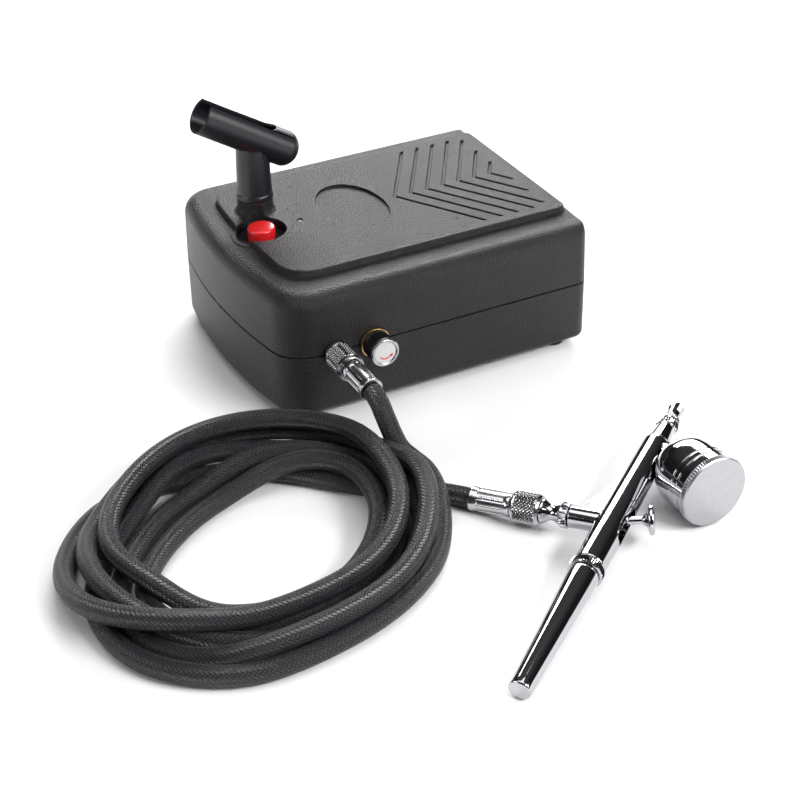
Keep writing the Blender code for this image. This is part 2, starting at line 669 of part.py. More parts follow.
def pump():
    motor_x, motor_z = MOTOR_AXIS
    gear_x, gear_z = GEAR_AXIS
    motor = {"location": (motor_x, 0, motor_z)}
    gear = {"location": (gear_x, 0, gear_z)}
    pin = {"location": (gear_x + CRANK_THROW, 0, gear_z)}

    outline = chamfered(79.0, 38.8, 4.0, (-14.2, 25.9))
    frame = add_object("pump_frame", prism(outline, FRAME_FRONT, FRAME_BACK, "Y"), STEEL)
    cut(frame, cylinder(6.2, FRAME_FRONT - 1, FRAME_BACK + 1, "Y", 20), **motor)
    cut(frame, cylinder(2.0 + RUN, FRAME_FRONT - 1, FRAME_BACK + 1, "Y", 16), **gear)

    can = [(1.8, 8.2), (5.8, 8.2), (5.8, 9.4), (17.9, 9.4)]
    can += [(17.9, 46.6), (16.7, 46.6), (16.7, 11.0), (1.8, 11.0)]
    add_object("motor_can", lathe(can, "Y", 24), STEEL, **motor)
    add_object("motor_magnets", ring_tube(16.4, 13.8, 14.0, 42.0, "Y", 20), MAGNET, **motor)
    end_cap = [(1.8, 46.9), (17.5, 46.9), (17.5, 49.2), (7.0, 49.6), (6.0, 51.2), (1.8, 51.2)]
    add_object("motor_end_cap", lathe(end_cap, "Y", 20), NYLON, **motor)
    add_object("motor_shaft", cylinder(1.5, -0.8, 52.2, "Y", 12), STEEL, **motor)
    add_object("motor_armature", ring_tube(13.3, 1.8, 15.0, 41.0, "Y", 16), COPPER, **motor)

    pinion = add_object(
        "motor_pinion", prism(gear_outline(PINION_TEETH, pi / PINION_TEETH), -0.4, 5.3, "Y"), BRASS, **motor
    )
    cut(pinion, cylinder(1.6, -2.0, 7.0, "Y", 12), **motor)
    wheel = add_object(
        "crank_gear", prism(gear_outline(GEAR_TEETH, 0.0), GEAR_FRONT, GEAR_BACK, "Y"), NYLON, **gear
    )
    cut(wheel, cylinder(2.0 + RUN, 2.2, 7.0, "Y", 16), **gear)
    for turn in (pi / 3, pi, 5 * pi / 3):
        window = cylinder(4.0, -2.0, 7.0, "Y", 10)
        place = (gear_x + 9.6 * cos(turn), 0, gear_z + 9.6 * sin(turn))
        cut(wheel, window, location=place)
    cut(wheel, cylinder(1.75, -2.0, 1.8, "Y", 12), **pin)
    add_object("gear_axle", cylinder(2.0, 2.5, FRAME_BACK - 0.2, "Y", 16), STEEL, **gear)
    crank = [(0, 1.5), (1.5, 1.5), (1.5, -0.6), (2.0, -0.8), (2.0, -8.4), (0, -8.4)]
    add_object("crank_pin", lathe(crank, "Y", 16), STEEL, **pin)

    rod_shape = rod_outline()
    rod = add_object("connecting_rod", prism(rod_shape, ROD_FRONT, ROD_BACK, "Y"), ALUMINIUM, **pin)
    cut(rod, cylinder(2.0 + RUN, -9.0, 0.0, "Y", 16), **pin)
    wrist = (gear_x + CRANK_THROW + ROD_LENGTH, 0, gear_z)
    cut(rod, cylinder(1.5, -9.0, 0.0, "Y", 12), location=wrist)
    wrist_pin = cylinder(1.4, CYLINDER_Y - 4.4, CYLINDER_Y + 4.4, "Y", 12)
    add_object("wrist_pin", wrist_pin, STEEL, location=wrist)

    bore = {"location": (0, CYLINDER_Y, gear_z)}
    piston = [
        (0, PISTON_CROWN),
        (8.6, PISTON_CROWN),
        (8.6, PISTON_CROWN - 1.2),
        (7.6, PISTON_CROWN - 1.2),
        (7.6, PISTON_CROWN - 2.8),
        (8.6, PISTON_CROWN - 2.8),
        (8.6, PISTON_START),
        (6.8, PISTON_START),
        (6.8, PISTON_CROWN - 3.4),
        (6.2, PISTON_CROWN - 2.6),
        (0, PISTON_CROWN - 2.6),
    ]
    add_object("piston", lathe(piston, "X", 20), ALUMINIUM, **bore)
    seal = ring_tube(8.85, 7.75, PISTON_CROWN - 2.65, PISTON_CROWN - 1.35, "X", 20)
    add_object("piston_seal", seal, RUBBER, **bore)
    barrel = [(9.05, CYLINDER_START), (10.4, CYLINDER_START)]
    for i in range(3):
        fin = CYLINDER_START + 3.5 + i * 5.0
        barrel += [(10.1, fin), (11.2, fin), (11.2, fin + 1.6), (10.1, fin + 1.6)]
    barrel += [(11.2, CYLINDER_END - 1.8), (11.2, CYLINDER_END), (9.05, CYLINDER_END)]
    add_object("cylinder", lathe(barrel, "X", 20), ALUMINIUM, **bore)
    head = [(0, CYLINDER_END + GAP), (11.2, CYLINDER_END + GAP), (11.2, 37.2), (9.0, 38.6), (0, 38.6)]
    top = add_object("cylinder_head", lathe(head, "X", 20), ALUMINIUM, **bore)
    join(top, cylinder(1.8, 35.0, 42.0, steps=12), location=(35.4, CYLINDER_Y, 0))
    cut(top, cylinder(0.9, 30.0, 44.0, steps=8), location=(35.4, CYLINDER_Y, 0))

    air_way = [
        (35.4, -5.5, 42.5),
        (35.4, -5.9, 45.4),
        (36.0, -10.5, 48.0),
        (37.5, -17.5, 48.5),
        (39.5, -25.5, 47.2),
        (40.7, -32.6, 45.0),
        (41.0, -34.8, 42.4),
        (41.0, -35.2, 40.1),
    ]
    tube("air_tube", smooth_route(air_way, 16), 2.0, SILICONE, 1)


def rod_outline():
    """The rod's side view, from its big end round the crank pin to its small end, about the crank pin."""
    big, small, neck = 4.4, 2.8, 1.7
    points = []
    start = asin(neck / big)
    for i in range(15):
        turn = start + (2 * pi - 2 * start) * i / 14
        points.append((big * cos(turn), big * sin(turn)))
    finish = pi - asin(neck / small)
    for i in range(11):
        turn = -finish + 2 * finish * i / 10
        points.append((ROD_LENGTH + small * cos(turn), small * sin(turn)))
    return points


# ---------------------------------------------------------------- airbrush


def brush_frame():
    """An empty at the airbrush's origin, turned so that its X runs to the nozzle and its Z to the cup."""
    ahead = Vector(BRUSH_AXIS).normalized()
    up = Vector(BRUSH_UP)
    up = (up - up.dot(ahead) * ahead).normalized()
    side = up.cross(ahead)
    turn = Matrix((ahead, side, up)).transposed().to_euler()
    return empty("airbrush_frame", BRUSH_ORIGIN, turn)


def airbrush(root):
    on_brush = {"parent": root}
    at_valve = {"parent": root, "location": (VALVE_AT, 0, 0)}
    at_cup = {"parent": root, "location": (CUP_AT, 0, 0), "rotation": (0, -CUP_LEAN, 0)}

    handle = [
        (0, 0),
        (TAIL_RADIUS - 0.35, 0),
        (TAIL_RADIUS, 0.35),
        (TAIL_RADIUS + 0.05, 4.0),
        (5.3, 52.0),
        (5.35, 57.2),
        (3.2, 57.2),
        (3.2, 12.0),
        (0, 10.0),
    ]
    add_object("handle", lathe(handle, "X", 20), CHROME, **on_brush)
    ring = [(3.4, 57.5), (5.6, 57.5), (6.1, 58.0, 0.3), (6.1, 60.2, 0.3), (5.6, 60.7), (3.4, 60.7)]
    add_object("handle_ring", lathe(ring, "X", 28), CHROME, **on_brush)

    shell = [
        (0, BODY_START),
        (BODY_RADIUS, BODY_START),
        (BODY_RADIUS, 78.0),
        (5.15, BODY_END - 0.8),
        (4.8, BODY_END),
        (0, BODY_END),
    ]
    body = add_object("brush_body", lathe(shell, "X", 24), CHROME, **on_brush)
    join(body, cylinder(4.0, NECK_START + GAP, -1.0, steps=20), **at_valve)
    join(body, fairing(), **on_brush)
    channel = [(0, BODY_START - 2), (3.7, BODY_START - 2), (3.7, 96.0), (1.1, 98.0)]
    channel += [(1.1, BODY_END + 2), (0, BODY_END + 2)]
    cut(body, lathe(channel, "X", 14), **on_brush)
    cut(body, cylinder(2.8, NECK_START - 2, -1.5, steps=16), **at_valve)
    cut(body, block((76.0, -2.1, 0.5), (93.0, 2.1, 9.0)), **on_brush)
    cut(body, cylinder(1.0, 0.5, 12.0, steps=10), **at_cup)

    head = [
        (0.9, BODY_END + GAP),
        (4.55, BODY_END + GAP),
        (3.6, 141.6),
        (4.1, 141.8, 0.3),
        (4.1, 144.6, 0.3),
        (3.3, 145.0),
        (3.3, 146.2),
        (0.9, 146.2),
    ]
    add_object("brush_head", lathe(head, "X", 20), CHROME, **on_brush)
    crown = [(0.9, 146.5), (3.4, 146.5, 0.2), (3.4, 148.0, 0.2), (2.6, 148.4)]
    crown += [(3.0, BRUSH_LENGTH), (2.3, BRUSH_LENGTH), (2.0, 148.6), (0.9, 148.0)]
    cap = add_object("needle_cap", lathe(crown, "X", 20), CHROME, **on_brush)
    cut(cap, block((151.6, -5.0, -1.1), (158.0, 5.0, 1.1)), **on_brush)

    needle = [(0, 30.0), (0.6, 30.2), (0.6, 144.0), (0.12, 152.4), (0, 152.6)]
    add_object("needle", lathe(needle, "X", 10), STEEL, **on_brush)
    chuck = [(0.75, 36.0), (2.6, 36.0, 0.2), (2.6, 46.0, 0.2), (1.9, 47.0), (1.9, 70.0), (0.75, 70.0)]
    add_object("needle_chuck", lathe(chuck, "X", 14), BRASS, **on_brush)

    plunger = [(0, -13.4), (2.2, -13.4), (2.2, -4.8), (0, -4.8)]
    add_object("air_plunger", lathe(plunger, steps=16), BRASS, **at_valve)
    lever = {"parent": root, "location": (VALVE_AT, 0, TRIGGER_PIVOT), "rotation": (0, TRIGGER_LEAN, 0)}
    stem = [(0, 7.8), (1.4, 7.8), (1.4, 14.0), (2.6, 15.2), (5.3, 15.6), (5.5, 16.4)]
    stem += [(5.3, 17.3), (4.0, 17.6), (0, 17.1)]
    trigger = add_object("trigger", lathe(stem, steps=16), CHROME, **lever)
    join(trigger, block((-1.2, -1.6, -0.8), (1.2, 1.6, 8.4)), **lever)
    cut(trigger, block((-3.0, -0.95, 2.0), (3.0, 0.95, 7.2)), **lever)

    bowl = [
        (0, 5.0),
        (4.6, 5.0),
        (5.4, 8.2),
        (8.0, 10.4),
        (10.8, 13.4),
        (12.4, 16.8),
        (CUP_RADIUS, 20.0),
        (CUP_RADIUS, CUP_MOUTH),
        (CUP_RADIUS - 0.9, CUP_MOUTH),
        (CUP_RADIUS - 0.9, 20.2),
        (10.2, 16.2),
        (6.5, 12.9),
        (3.0, 11.6),
        (0, 11.2),
    ]
    cup = add_object("paint_cup", lathe(bowl, steps=24), CHROME, **at_cup)
    cut(cup, cylinder(BODY_RADIUS + GAP, 100.0, 150.0, "X", 32), **on_brush)
    cut(cup, cylinder(1.0, 3.0, 14.0, steps=10), **at_cup)
    lid = [(0, LID_TOP), (12.9, LID_TOP), (13.4, LID_TOP - 0.5, 0.3), (13.4, CUP_MOUTH + GAP, 0.3)]
    lid += [(CUP_RADIUS - 1.3, CUP_MOUTH + GAP), (CUP_RADIUS - 1.3, 29.0), (CUP_RADIUS - 2.4, 29.0)]
    lid += [(CUP_RADIUS - 2.4, LID_TOP - 1.2), (0, LID_TOP - 1.2)]
    add_object("cup_lid", lathe(lid, steps=32), SATIN_METAL, **at_cup)

    neck = [
        (1.3, NECK_START),
        (4.0, NECK_START),
        (4.5, NECK_START - 0.4, 0.25),
        (4.5, NECK_START - 2.6, 0.25),
        (3.9, NECK_START - 3.0),
        (2.8, -21.2),
        (2.9, -22.6),
        (4.4, NECK_END + 0.4),
        (4.4, NECK_END),
        (3.5, NECK_END),
        (3.5, -31.0),
        (1.3, -31.0),
    ]
    add_object("hose_neck", lathe(neck, steps=18), CHROME, **at_valve)
    nut = [
        (3.8, NECK_END - GAP),
        (5.0, NECK_END - GAP),
        (5.7, NECK_END - 1.0, 0.3),
        (5.7, BRUSH_NUT_END + 1.0, 0.3),
        (5.0, BRUSH_NUT_END),
        (2.7, BRUSH_NUT_END),
        (2.7, -31.6),
        (3.8, -31.6),
    ]
    add_object("brush_nut", lathe(nut, steps=24), SATIN_METAL, **at_valve)
    ferrule = [
        (1.3, -32.0),
        (2.4, -32.0),
        (2.4, BRUSH_NUT_END - GAP),
        (3.9, BRUSH_NUT_END - GAP),
        (4.2, BRUSH_NUT_END - 0.7),
        (4.2, BRUSH_FERRULE_END + 0.8),
        (4.4, BRUSH_FERRULE_END),
        (1.3, BRUSH_FERRULE_END),
    ]
    add_object("brush_ferrule", lathe(ferrule, steps=16), SATIN_METAL, **at_valve)


def fairing():
    """The thin web that sweeps from the valve up to the body, on the nozzle side."""
    start = (VALVE_AT + 3.4, -13.8)
    end = (FAIRING_END, -4.6)
    outline = [(VALVE_AT + 1.0, -4.0), (VALVE_AT + 1.0, -13.8), start]
    for i in range(1, 8):
        share = i / 8
        sag = FAIRING_SAG * sin(pi * share)
        x = start[0] + (end[0] - start[0]) * share - 0.35 * sag
        z = start[1] + (end[1] - start[1]) * share + 0.9 * sag
        outline.append((x, z))
    outline += [end, (FAIRING_END, -4.0)]
    return prism(outline, -1.3, 1.3, "Y")


# ---------------------------------------------------------------- hose


def hose(root):
    bpy.context.view_layer.update()
    start = root.matrix_world @ (Vector((VALVE_AT, 0, BRUSH_FERRULE_END - GAP)) * MM) / MM
    second = root.matrix_world @ (Vector((VALVE_AT, 0, BRUSH_FERRULE_END - 1.5)) * MM) / MM
    lead = [Vector((FERRULE_END + GAP, OUTLET_Y, FITTING_Z)), *smooth_route(HOSE_LEAD, 12)]
    tail = [start, *smooth_route([second, *HOSE_TAIL_ROUTE], 18)]
    radius = HOSE_DIAMETER / 2
    tube("hose_lead", lead, radius, BRAID)
    tube("hose_tail", tail, radius, BRAID)

    section = [(0.06, 0.0), (0.94, 0.0), (1.0, 0.2), (0.98, 0.6)]
    section += [(0.72, 1.0), (0.3, 1.0), (0.02, 0.6), (0.0, 0.2)]
    rings = []
    for i in range(36):
        turn = 2 * pi * i / 36
        ring = []
        for across, height in section:
            reach = [a + (b - a) * across for a, b in zip(COIL_INNER, COIL_OUTER)]
            ring.append(
                (
                    COIL_CENTRE[0] + reach[0] * cos(turn),
                    COIL_CENTRE[1] + reach[1] * sin(turn),
                    0.1 + COIL_HEIGHT * height,
                )
            )
        rings.append(ring)
    coil = add_object("hose_coil", loft(rings, "loop"), BRAID)
    for path in (lead, tail):
        past_end = path[-1] + (path[-1] - path[-2]) * 0.3
        cut(coil, swept_round([*path, past_end], radius + HOSE_CLEARANCE))


def main():
    clear_scene()
    lower_case()
    upper_case()
    feet_and_screws()
    button_and_electrics()
    side_fittings()
    airbrush_holder()
    pump()
    root = brush_frame()
    airbrush(root)
    hose(root)


main()
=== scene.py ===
"""The looks of a small airbrush compressor with its braided hose and gravity-feed airbrush."""

import json
from math import cos, pi, radians, sin, sqrt

import bmesh
import bpy
import numpy as np
from mathutils import Matrix, Vector


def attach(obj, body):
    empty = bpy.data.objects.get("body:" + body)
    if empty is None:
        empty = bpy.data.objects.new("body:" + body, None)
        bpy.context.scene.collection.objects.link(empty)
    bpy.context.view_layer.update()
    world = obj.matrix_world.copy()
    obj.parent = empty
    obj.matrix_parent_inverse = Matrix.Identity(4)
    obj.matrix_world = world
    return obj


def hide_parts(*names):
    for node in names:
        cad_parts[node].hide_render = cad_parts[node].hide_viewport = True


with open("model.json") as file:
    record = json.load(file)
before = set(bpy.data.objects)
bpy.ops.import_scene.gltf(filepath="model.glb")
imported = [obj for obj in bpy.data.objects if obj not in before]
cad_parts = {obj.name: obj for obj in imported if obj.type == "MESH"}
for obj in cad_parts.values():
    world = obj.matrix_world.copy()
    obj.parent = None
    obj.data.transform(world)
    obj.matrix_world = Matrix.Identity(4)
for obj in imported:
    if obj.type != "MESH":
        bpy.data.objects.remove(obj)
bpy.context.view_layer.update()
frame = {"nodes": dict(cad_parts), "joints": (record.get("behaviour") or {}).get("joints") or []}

# Sizes are in millimetres, as in the CAD source, and are turned to metres when a mesh is made.
MM = 0.001
GAP = 0.3

CASE_X = -5.05
CASE_LENGTH = 136.0
CASE_HALF_WIDTH = 53.5
FRONT_SAGITTA = 6.3
FRONT_CORNER = 14.0
BACK_CORNER = 5.0
CASE_BOTTOM = 3.5
PARTING = 28.7
SHOULDER = 54.7
PANEL_TOP = 57.1
WALL = 2.2
ROOF = 52.3
SIDE_FILLET = 6.0
PANEL_SIDE = 13.2
PANEL_FRONT = 11.7
PANEL_BACK = 2.6
FEET = [(CASE_X + side * x, y) for side in (-1, 1) for x, y in ((43.0, -55.2), (45.5, 57.2))]
BUTTON_PLACE = (CASE_X, -48.4)
WELL_RADIUS = 9.8
WELL_FLOOR = 53.1
LED_PLACE = (CASE_X, -32.0)
BADGE_CENTRE = (CASE_X - 0.8, -8.8)
BADGE_HALF = (20.3, 13.0)
CHEVRONS = 7
CHEVRON_FIRST = 9.4
CHEVRON_PITCH = 7.22
CHEVRON_HALF_SPAN = 35.3
CHEVRON_BACK = 58.3
CHEVRON_RISE = 0.61

HOLDER_PLACE = (-20.85, -43.8)
SOCKET_TOP = 63.2
CRADLE_HEIGHT = 89.0
CRADLE_TILT = radians(32.0)

SIDE_X = CASE_X + CASE_HALF_WIDTH
FITTING_Z = 29.0
OUTLET_Y = -43.5
KNOB_Y = -27.5
NUT_END = 62.7
FERRULE_START = 63.05
FERRULE_END = 78.65
HOSE_DIAMETER = 7.3

VALVE_AT = 85.1
FAIRING_END = 119.5
CUP_AT = 130.8
CUP_LEAN = radians(35.4)
CUP_RADIUS = 12.9
CUP_MOUTH = 31.6
LID_TOP = 34.5
BRUSH_FERRULE_END = -52.2

COIL_CENTRE = (114.5, -104.5)
COIL_HALF = (47.0, 55.0)


# ---- camera, floor and lights

LIT_PLACE = (0.08, -0.03, 0.03)


def place_of(x, y, z, origin):
    """A place with these three axes."""
    matrix = Matrix([list(row) for row in zip(x, y, z)]).to_4x4()
    matrix.translation = Vector(origin)
    return matrix


def add_camera():
    data = bpy.data.cameras.new("camera")
    data.lens = 81.2
    data.sensor_width = 36.0
    data.clip_start = 0.05
    camera = link("camera", data)
    camera.matrix_world = place_of(
        (0.46045, 0.88756, -0.01466),
        (-0.47807, 0.26187, 0.83838),
        (0.74795, -0.37902, 0.54490),
        Vector((571.03, -281.71, 379.91)) * MM,
    )
    bpy.context.scene.camera = camera
    bpy.context.scene.view_settings.view_transform = "Standard"


def add_light(name, place, size, power, colour=(1, 1, 1)):
    data = bpy.data.lights.new(name, "AREA")
    data.shape = "RECTANGLE"
    data.size, data.size_y = size
    data.energy = power
    data.color = colour
    light = link(name, data)
    light.location = place
    light.rotation_euler = (Vector(LIT_PLACE) - Vector(place)).to_track_quat("-Z", "Y").to_euler()


def add_studio():
    add_light("top_box", (0.15, -0.05, 1.05), (1.1, 0.9), 6.5)
    add_light("left_box", (0.0, -1.0, 0.42), (0.7, 0.35), 3.5)
    add_light("right_box", (0.85, 0.75, 0.45), (0.7, 0.35), 3.5)
    add_light("back_box", (-0.78, 0.46, 0.55), (0.85, 0.45), 19.0, (1.0, 0.98, 1.0))
    add_light("edge_box", (0.75, 0.38, 0.65), (0.6, 0.2), 10.0)

    world = bpy.data.worlds.new("studio")
    world.use_nodes = True
    bpy.context.scene.world = world
    tree = world.node_tree
    background = tree.nodes["Background"]
    background.inputs["Strength"].default_value = 0.7
    place = tree.nodes.new("ShaderNodeTexCoord")
    split = tree.nodes.new("ShaderNodeSeparateXYZ")
    ramp = tree.nodes.new("ShaderNodeValToRGB")
    tree.links.new(place.outputs["Generated"], split.inputs[0])
    tree.links.new(split.outputs["Z"], ramp.inputs["Fac"])
    elements = ramp.color_ramp.elements
    elements.new(0.5)
    elements.new(0.5)
    for element, (height, tone) in zip(elements, ((0.0, 0.6), (0.1, 0.02), (0.5, 0.03), (0.85, 0.13))):
        element.position = height
        element.color = (tone, tone, tone * 1.03, 1)
    tree.links.new(ramp.outputs["Color"], background.inputs["Color"])

    mesh = bpy.data.meshes.new("floor")
    reach = 4.0
    corners = [(-reach, -reach, 0), (reach, -reach, 0), (reach, reach, 0), (-reach, reach, 0)]
    mesh.from_pydata(corners, [], [(0, 1, 2, 3)])
    floor = link("floor", mesh)
    paint = Paint("floor_paint", (0.8, 0.8, 0.8), 0.7)
    tone = paint.noise(2.0, 3.0, place=paint.position(3.0))
    tones = paint.ramp(tone, [(0.3, (0.79, 0.79, 0.795)), (0.7, (0.81, 0.81, 0.81))])
    paint.feed(tones, paint.shader.inputs["Base Color"])
    mesh.materials.append(paint.material)


# ---- materials


class Paint:
    """A Principled material with the few node shapes that this object's finishes need."""

    def __init__(self, name, colour, roughness, metallic=0.0, **constants):
        self.material = bpy.data.materials.new(name)
        self.material.use_nodes = True
        self.tree = self.material.node_tree
        self.shader = self.tree.nodes["Principled BSDF"]
        self.shader.inputs["Base Color"].default_value = (*colour, 1)
        self.shader.inputs["Roughness"].default_value = roughness
        self.shader.inputs["Metallic"].default_value = metallic
        for socket, value in constants.items():
            self.shader.inputs[socket.replace("_", " ")].default_value = value

    def node(self, kind, inputs=(), **settings):
        made = self.tree.nodes.new("ShaderNode" + kind)
        for key, value in settings.items():
            setattr(made, key, value)
        for socket, value in dict(inputs).items():
            self.feed(value, made.inputs[socket])
        return made

    def feed(self, value, socket):
        if isinstance(value, bpy.types.NodeSocket):
            self.tree.links.new(value, socket)
        elif isinstance(value, tuple) and socket.type == "RGBA":
            socket.default_value = (*value, 1)
        else:
            socket.default_value = value

    def math(self, operation, a, b=0.0, c=0.0):
        return self.node("Math", {0: a, 1: b, 2: c}, operation=operation).outputs[0]

    def times(self, a, b):
        return self.math("MULTIPLY", a, b)

    def position(self, stretch=1.0):
        """The place on the object in centimetres, times stretch, which is a number or three."""
        place = self.node("TexCoord").outputs["Object"]
        stretch = stretch if isinstance(stretch, tuple) else (stretch,) * 3
        scale = tuple(100 * part for part in stretch)
        return self.node("Mapping", {"Vector": place, "Scale": scale}).outputs[0]

    def unwrapped(self):
        """(turns round the axis, distance along it in millimetres) of a turned or swept piece."""
        place = self.node("UVMap", uv_map="round").outputs["UV"]
        split = self.node("SeparateXYZ", {0: place})
        return split.outputs["X"], split.outputs["Y"]

    def painted_groove_shade(self, colour, groove_shade_colour):
        """The colour, darker towards the bottom of a knurl's grooves: painted shade in the grooves."""
        depth = self.node("Attribute", attribute_name="groove").outputs["Fac"]
        return self.mix(self.ramp(depth, [(0.24, 0.0), (0.46, 1.0)]), colour, groove_shade_colour)

    def vector(self, x, y, z=0.0):
        return self.node("CombineXYZ", {0: x, 1: y, 2: z}).outputs[0]

    def noise(self, scale, detail=2.0, roughness=0.5, place=None):
        place = self.position() if place is None else place
        inputs = {"Vector": place, "Scale": scale, "Detail": detail, "Roughness": roughness}
        return self.node("TexNoise", inputs).outputs["Fac"]

    def cells(self, scale):
        inputs = {"Vector": self.position(), "Scale": scale}
        return self.node("TexVoronoi", inputs).outputs["Distance"]

    def ramp(self, value, stops):
        made = self.node("ValToRGB", {"Fac": value})
        elements = made.color_ramp.elements
        while len(elements) < len(stops):
            elements.new(0.5)
        for element, (at, colour) in zip(elements, stops):
            element.position = at
            element.color = (*colour, 1) if isinstance(colour, tuple) else (colour, colour, colour, 1)
        return made.outputs["Color"]

    def mix(self, share, a, b):
        made = self.node("Mix", {0: share}, data_type="RGBA")
        self.feed(a, made.inputs[6])
        self.feed(b, made.inputs[7])
        return made.outputs[2]

    def finish(self, colour, gloss, relief):
        """The material, from (value, low, high) of its roughness and (height, mm, strength) of its bump."""
        value, low, high = gloss
        height, depth, strength = relief
        spread = self.node("MapRange", {"Value": value, "To Min": low, "To Max": high})
        bump = self.node("Bump", {"Height": height, "Distance": depth * MM, "Strength": strength})
        self.feed(colour, self.shader.inputs["Base Color"])
        self.feed(spread.outputs[0], self.shader.inputs["Roughness"])
        self.feed(bump.outputs[0], self.shader.inputs["Normal"])
        return self.material


def toned(colour, share, lift=0.0):
    return tuple(part * share + lift for part in colour)


def pebbled_plastic():
    """Black ABS from a spark-eroded mould: small rounded pebbles, glossier on their crowns."""
    paint = Paint("pebbled_abs", (0.006, 0.006, 0.0075), 0.36, Specular_IOR_Level=0.3)
    grain = paint.noise(45.0, 4.0, 0.65)
    rubbed = paint.noise(2.4, 5.0, 0.7, paint.position((1.0, 2.2, 1.0)))
    height = paint.math("ADD", paint.times(paint.cells(19.0), -1.0), paint.times(grain, 0.55))
    tone = paint.ramp(paint.noise(0.55, 3.0), [(0.3, (0.005, 0.005, 0.0062)), (0.7, (0.008, 0.008, 0.0094))])
    speck = paint.ramp(grain, [(0.35, (0.004, 0.004, 0.0055)), (0.75, (0.016, 0.0155, 0.018))])
    return paint.finish(paint.mix(0.45, tone, speck), (rubbed, 0.24, 0.34), (height, 0.28, 1.0))


def satin_plastic():
    """Smooth moulded plastic with a faint orange-peel skin and a few handling scuffs."""
    colour = (0.005, 0.006, 0.008)
    paint = Paint("satin_abs", colour, 0.34, Specular_IOR_Level=0.5)
    scuffs = paint.noise(9.0, 6.0, 0.75, paint.position((1.0, 6.0, 1.0)))
    scuffed = paint.mix(paint.ramp(scuffs, [(0.55, 0.0), (0.8, 0.8)]), colour, toned(colour, 1.6, 0.002))
    return paint.finish(scuffed, (scuffs, 0.27, 0.42), (paint.noise(12.0, 3.0), 0.03, 0.5))


def rubber():
    colour = (0.018, 0.018, 0.019)
    paint = Paint("foot_rubber", colour, 0.82, Specular_IOR_Level=0.35)
    grain = paint.noise(30.0, 5.0, 0.7)
    dust = paint.ramp(paint.noise(5.0, 4.0, 0.6), [(0.45, 0.0), (0.75, 0.7)])
    dusty = paint.mix(dust, colour, toned(colour, 1.5, 0.012))
    return paint.finish(dusty, (grain, 0.72, 0.9), (grain, 0.05, 0.6))


def gloss_red():
    paint = Paint("red_plastic", (0.6, 0.014, 0.016), 0.26, Coat_Weight=0.25, Coat_Roughness=0.12)
    wear = paint.noise(26.0, 5.0, 0.7)
    reds = [(0.3, (0.5, 0.008, 0.012)), (0.55, (0.62, 0.014, 0.016)), (0.8, (0.68, 0.03, 0.028))]
    return paint.finish(paint.ramp(wear, reds), (wear, 0.2, 0.36), (paint.noise(10.0, 3.0), 0.03, 0.4))


def chrome(name, colour, low, high):
    """Mirror plate with the faint smears and hairlines that handling leaves."""
    paint = Paint(name, colour, 0.04, 1.0)
    smears = paint.noise(3.5, 5.0, 0.7)
    hairs = paint.noise(38.0, 4.0, 0.8, paint.position((1.0, 9.0, 3.0)))
    smeared = paint.mix(paint.ramp(smears, [(0.4, 0.0), (0.7, 0.6)]), colour, toned(colour, 0.93))
    # The knurl grooves get painted shade: the colour darkens towards their bottom.
    return paint.finish(
        paint.painted_groove_shade(smeared, toned(colour, 0.12)), (smears, low, high), (hairs, 0.0006, 0.35)
    )


def turned_metal(name, colour, low, high, rings=14.0, depth=0.012):
    """Metal off the lathe: fine rings round the axis, under thin plate or bare."""
    paint = Paint(name, colour, (low + high) / 2, 1.0)
    turn, along = paint.unwrapped()
    lines = paint.noise(rings, 4.0, 0.7, paint.vector(paint.times(turn, 2.0), along))
    clouded = paint.mix(paint.noise(6.0, 3.0), colour, toned(colour, 0.82))
    # The knurl grooves get painted shade: the colour darkens towards their bottom.
    return paint.finish(paint.painted_groove_shade(clouded, toned(colour, 0.1)), (lines, low, high), (lines, depth, 0.5))


def plain_metal(name, colour, low, high, grain=30.0, depth=0.02, dark=0.8, stretch=1.0):
    """Cast, plated, drawn or ground metal, whose grain may run along one of the object's axes."""
    paint = Paint(name, colour, (low + high) / 2, 1.0)
    lines = paint.noise(grain, 5.0, 0.7, paint.position(stretch))
    clouded = paint.mix(paint.noise(4.0, 4.0, 0.6), colour, toned(colour, dark))
    return paint.finish(clouded, (lines, low, high), (lines, depth, 0.5))


def windings():
    """Enamelled copper wire, wound in layers between the stacked plates of the core."""
    paint = Paint("copper_windings", (0.6, 0.24, 0.1), 0.3, 1.0, Coat_Weight=0.4)
    inputs = {"Vector": paint.position(), "Scale": 9.0, "Distortion": 0.6}
    wires = paint.node("TexWave", inputs, bands_direction="Y").outputs["Fac"]
    copper = paint.mix(paint.cells(5.0), (0.62, 0.25, 0.1), (0.4, 0.13, 0.05))
    return paint.finish(copper, (wires, 0.22, 0.4), (wires, 0.15, 0.8))


def board():
    """Green solder mask over faint copper tracks, with pale pads."""
    paint = Paint("solder_mask", (0.02, 0.14, 0.05), 0.4, Coat_Weight=0.3)
    greens = {"Color1": (0.02, 0.15, 0.055), "Color2": (0.018, 0.12, 0.045), "Mortar": (0.04, 0.24, 0.09)}
    inputs = {"Vector": paint.position(), "Scale": 4.0, "Mortar Size": 0.02, **greens}
    tracks = paint.node("TexBrick", inputs).outputs
    pads = paint.ramp(paint.cells(5.0), [(0.1, 1.0), (0.13, 0.0)])
    mask = paint.mix(pads, tracks["Color"], (0.72, 0.73, 0.7))
    return paint.finish(mask, (paint.noise(20.0), 0.32, 0.5), (tracks["Fac"], 0.03, 0.5))


def moulded_pale(name, colour, low, high, **constants):
    """Natural nylon or milky silicone: pale, slightly cloudy, with a waxy skin."""
    paint = Paint(name, colour, (low + high) / 2, **constants)
    skin = paint.noise(22.0, 4.0)
    clouded = paint.mix(paint.noise(3.0, 4.0, 0.6), colour, toned(colour, 0.86))
    return paint.finish(clouded, (skin, low, high), (skin, 0.03, 0.5))


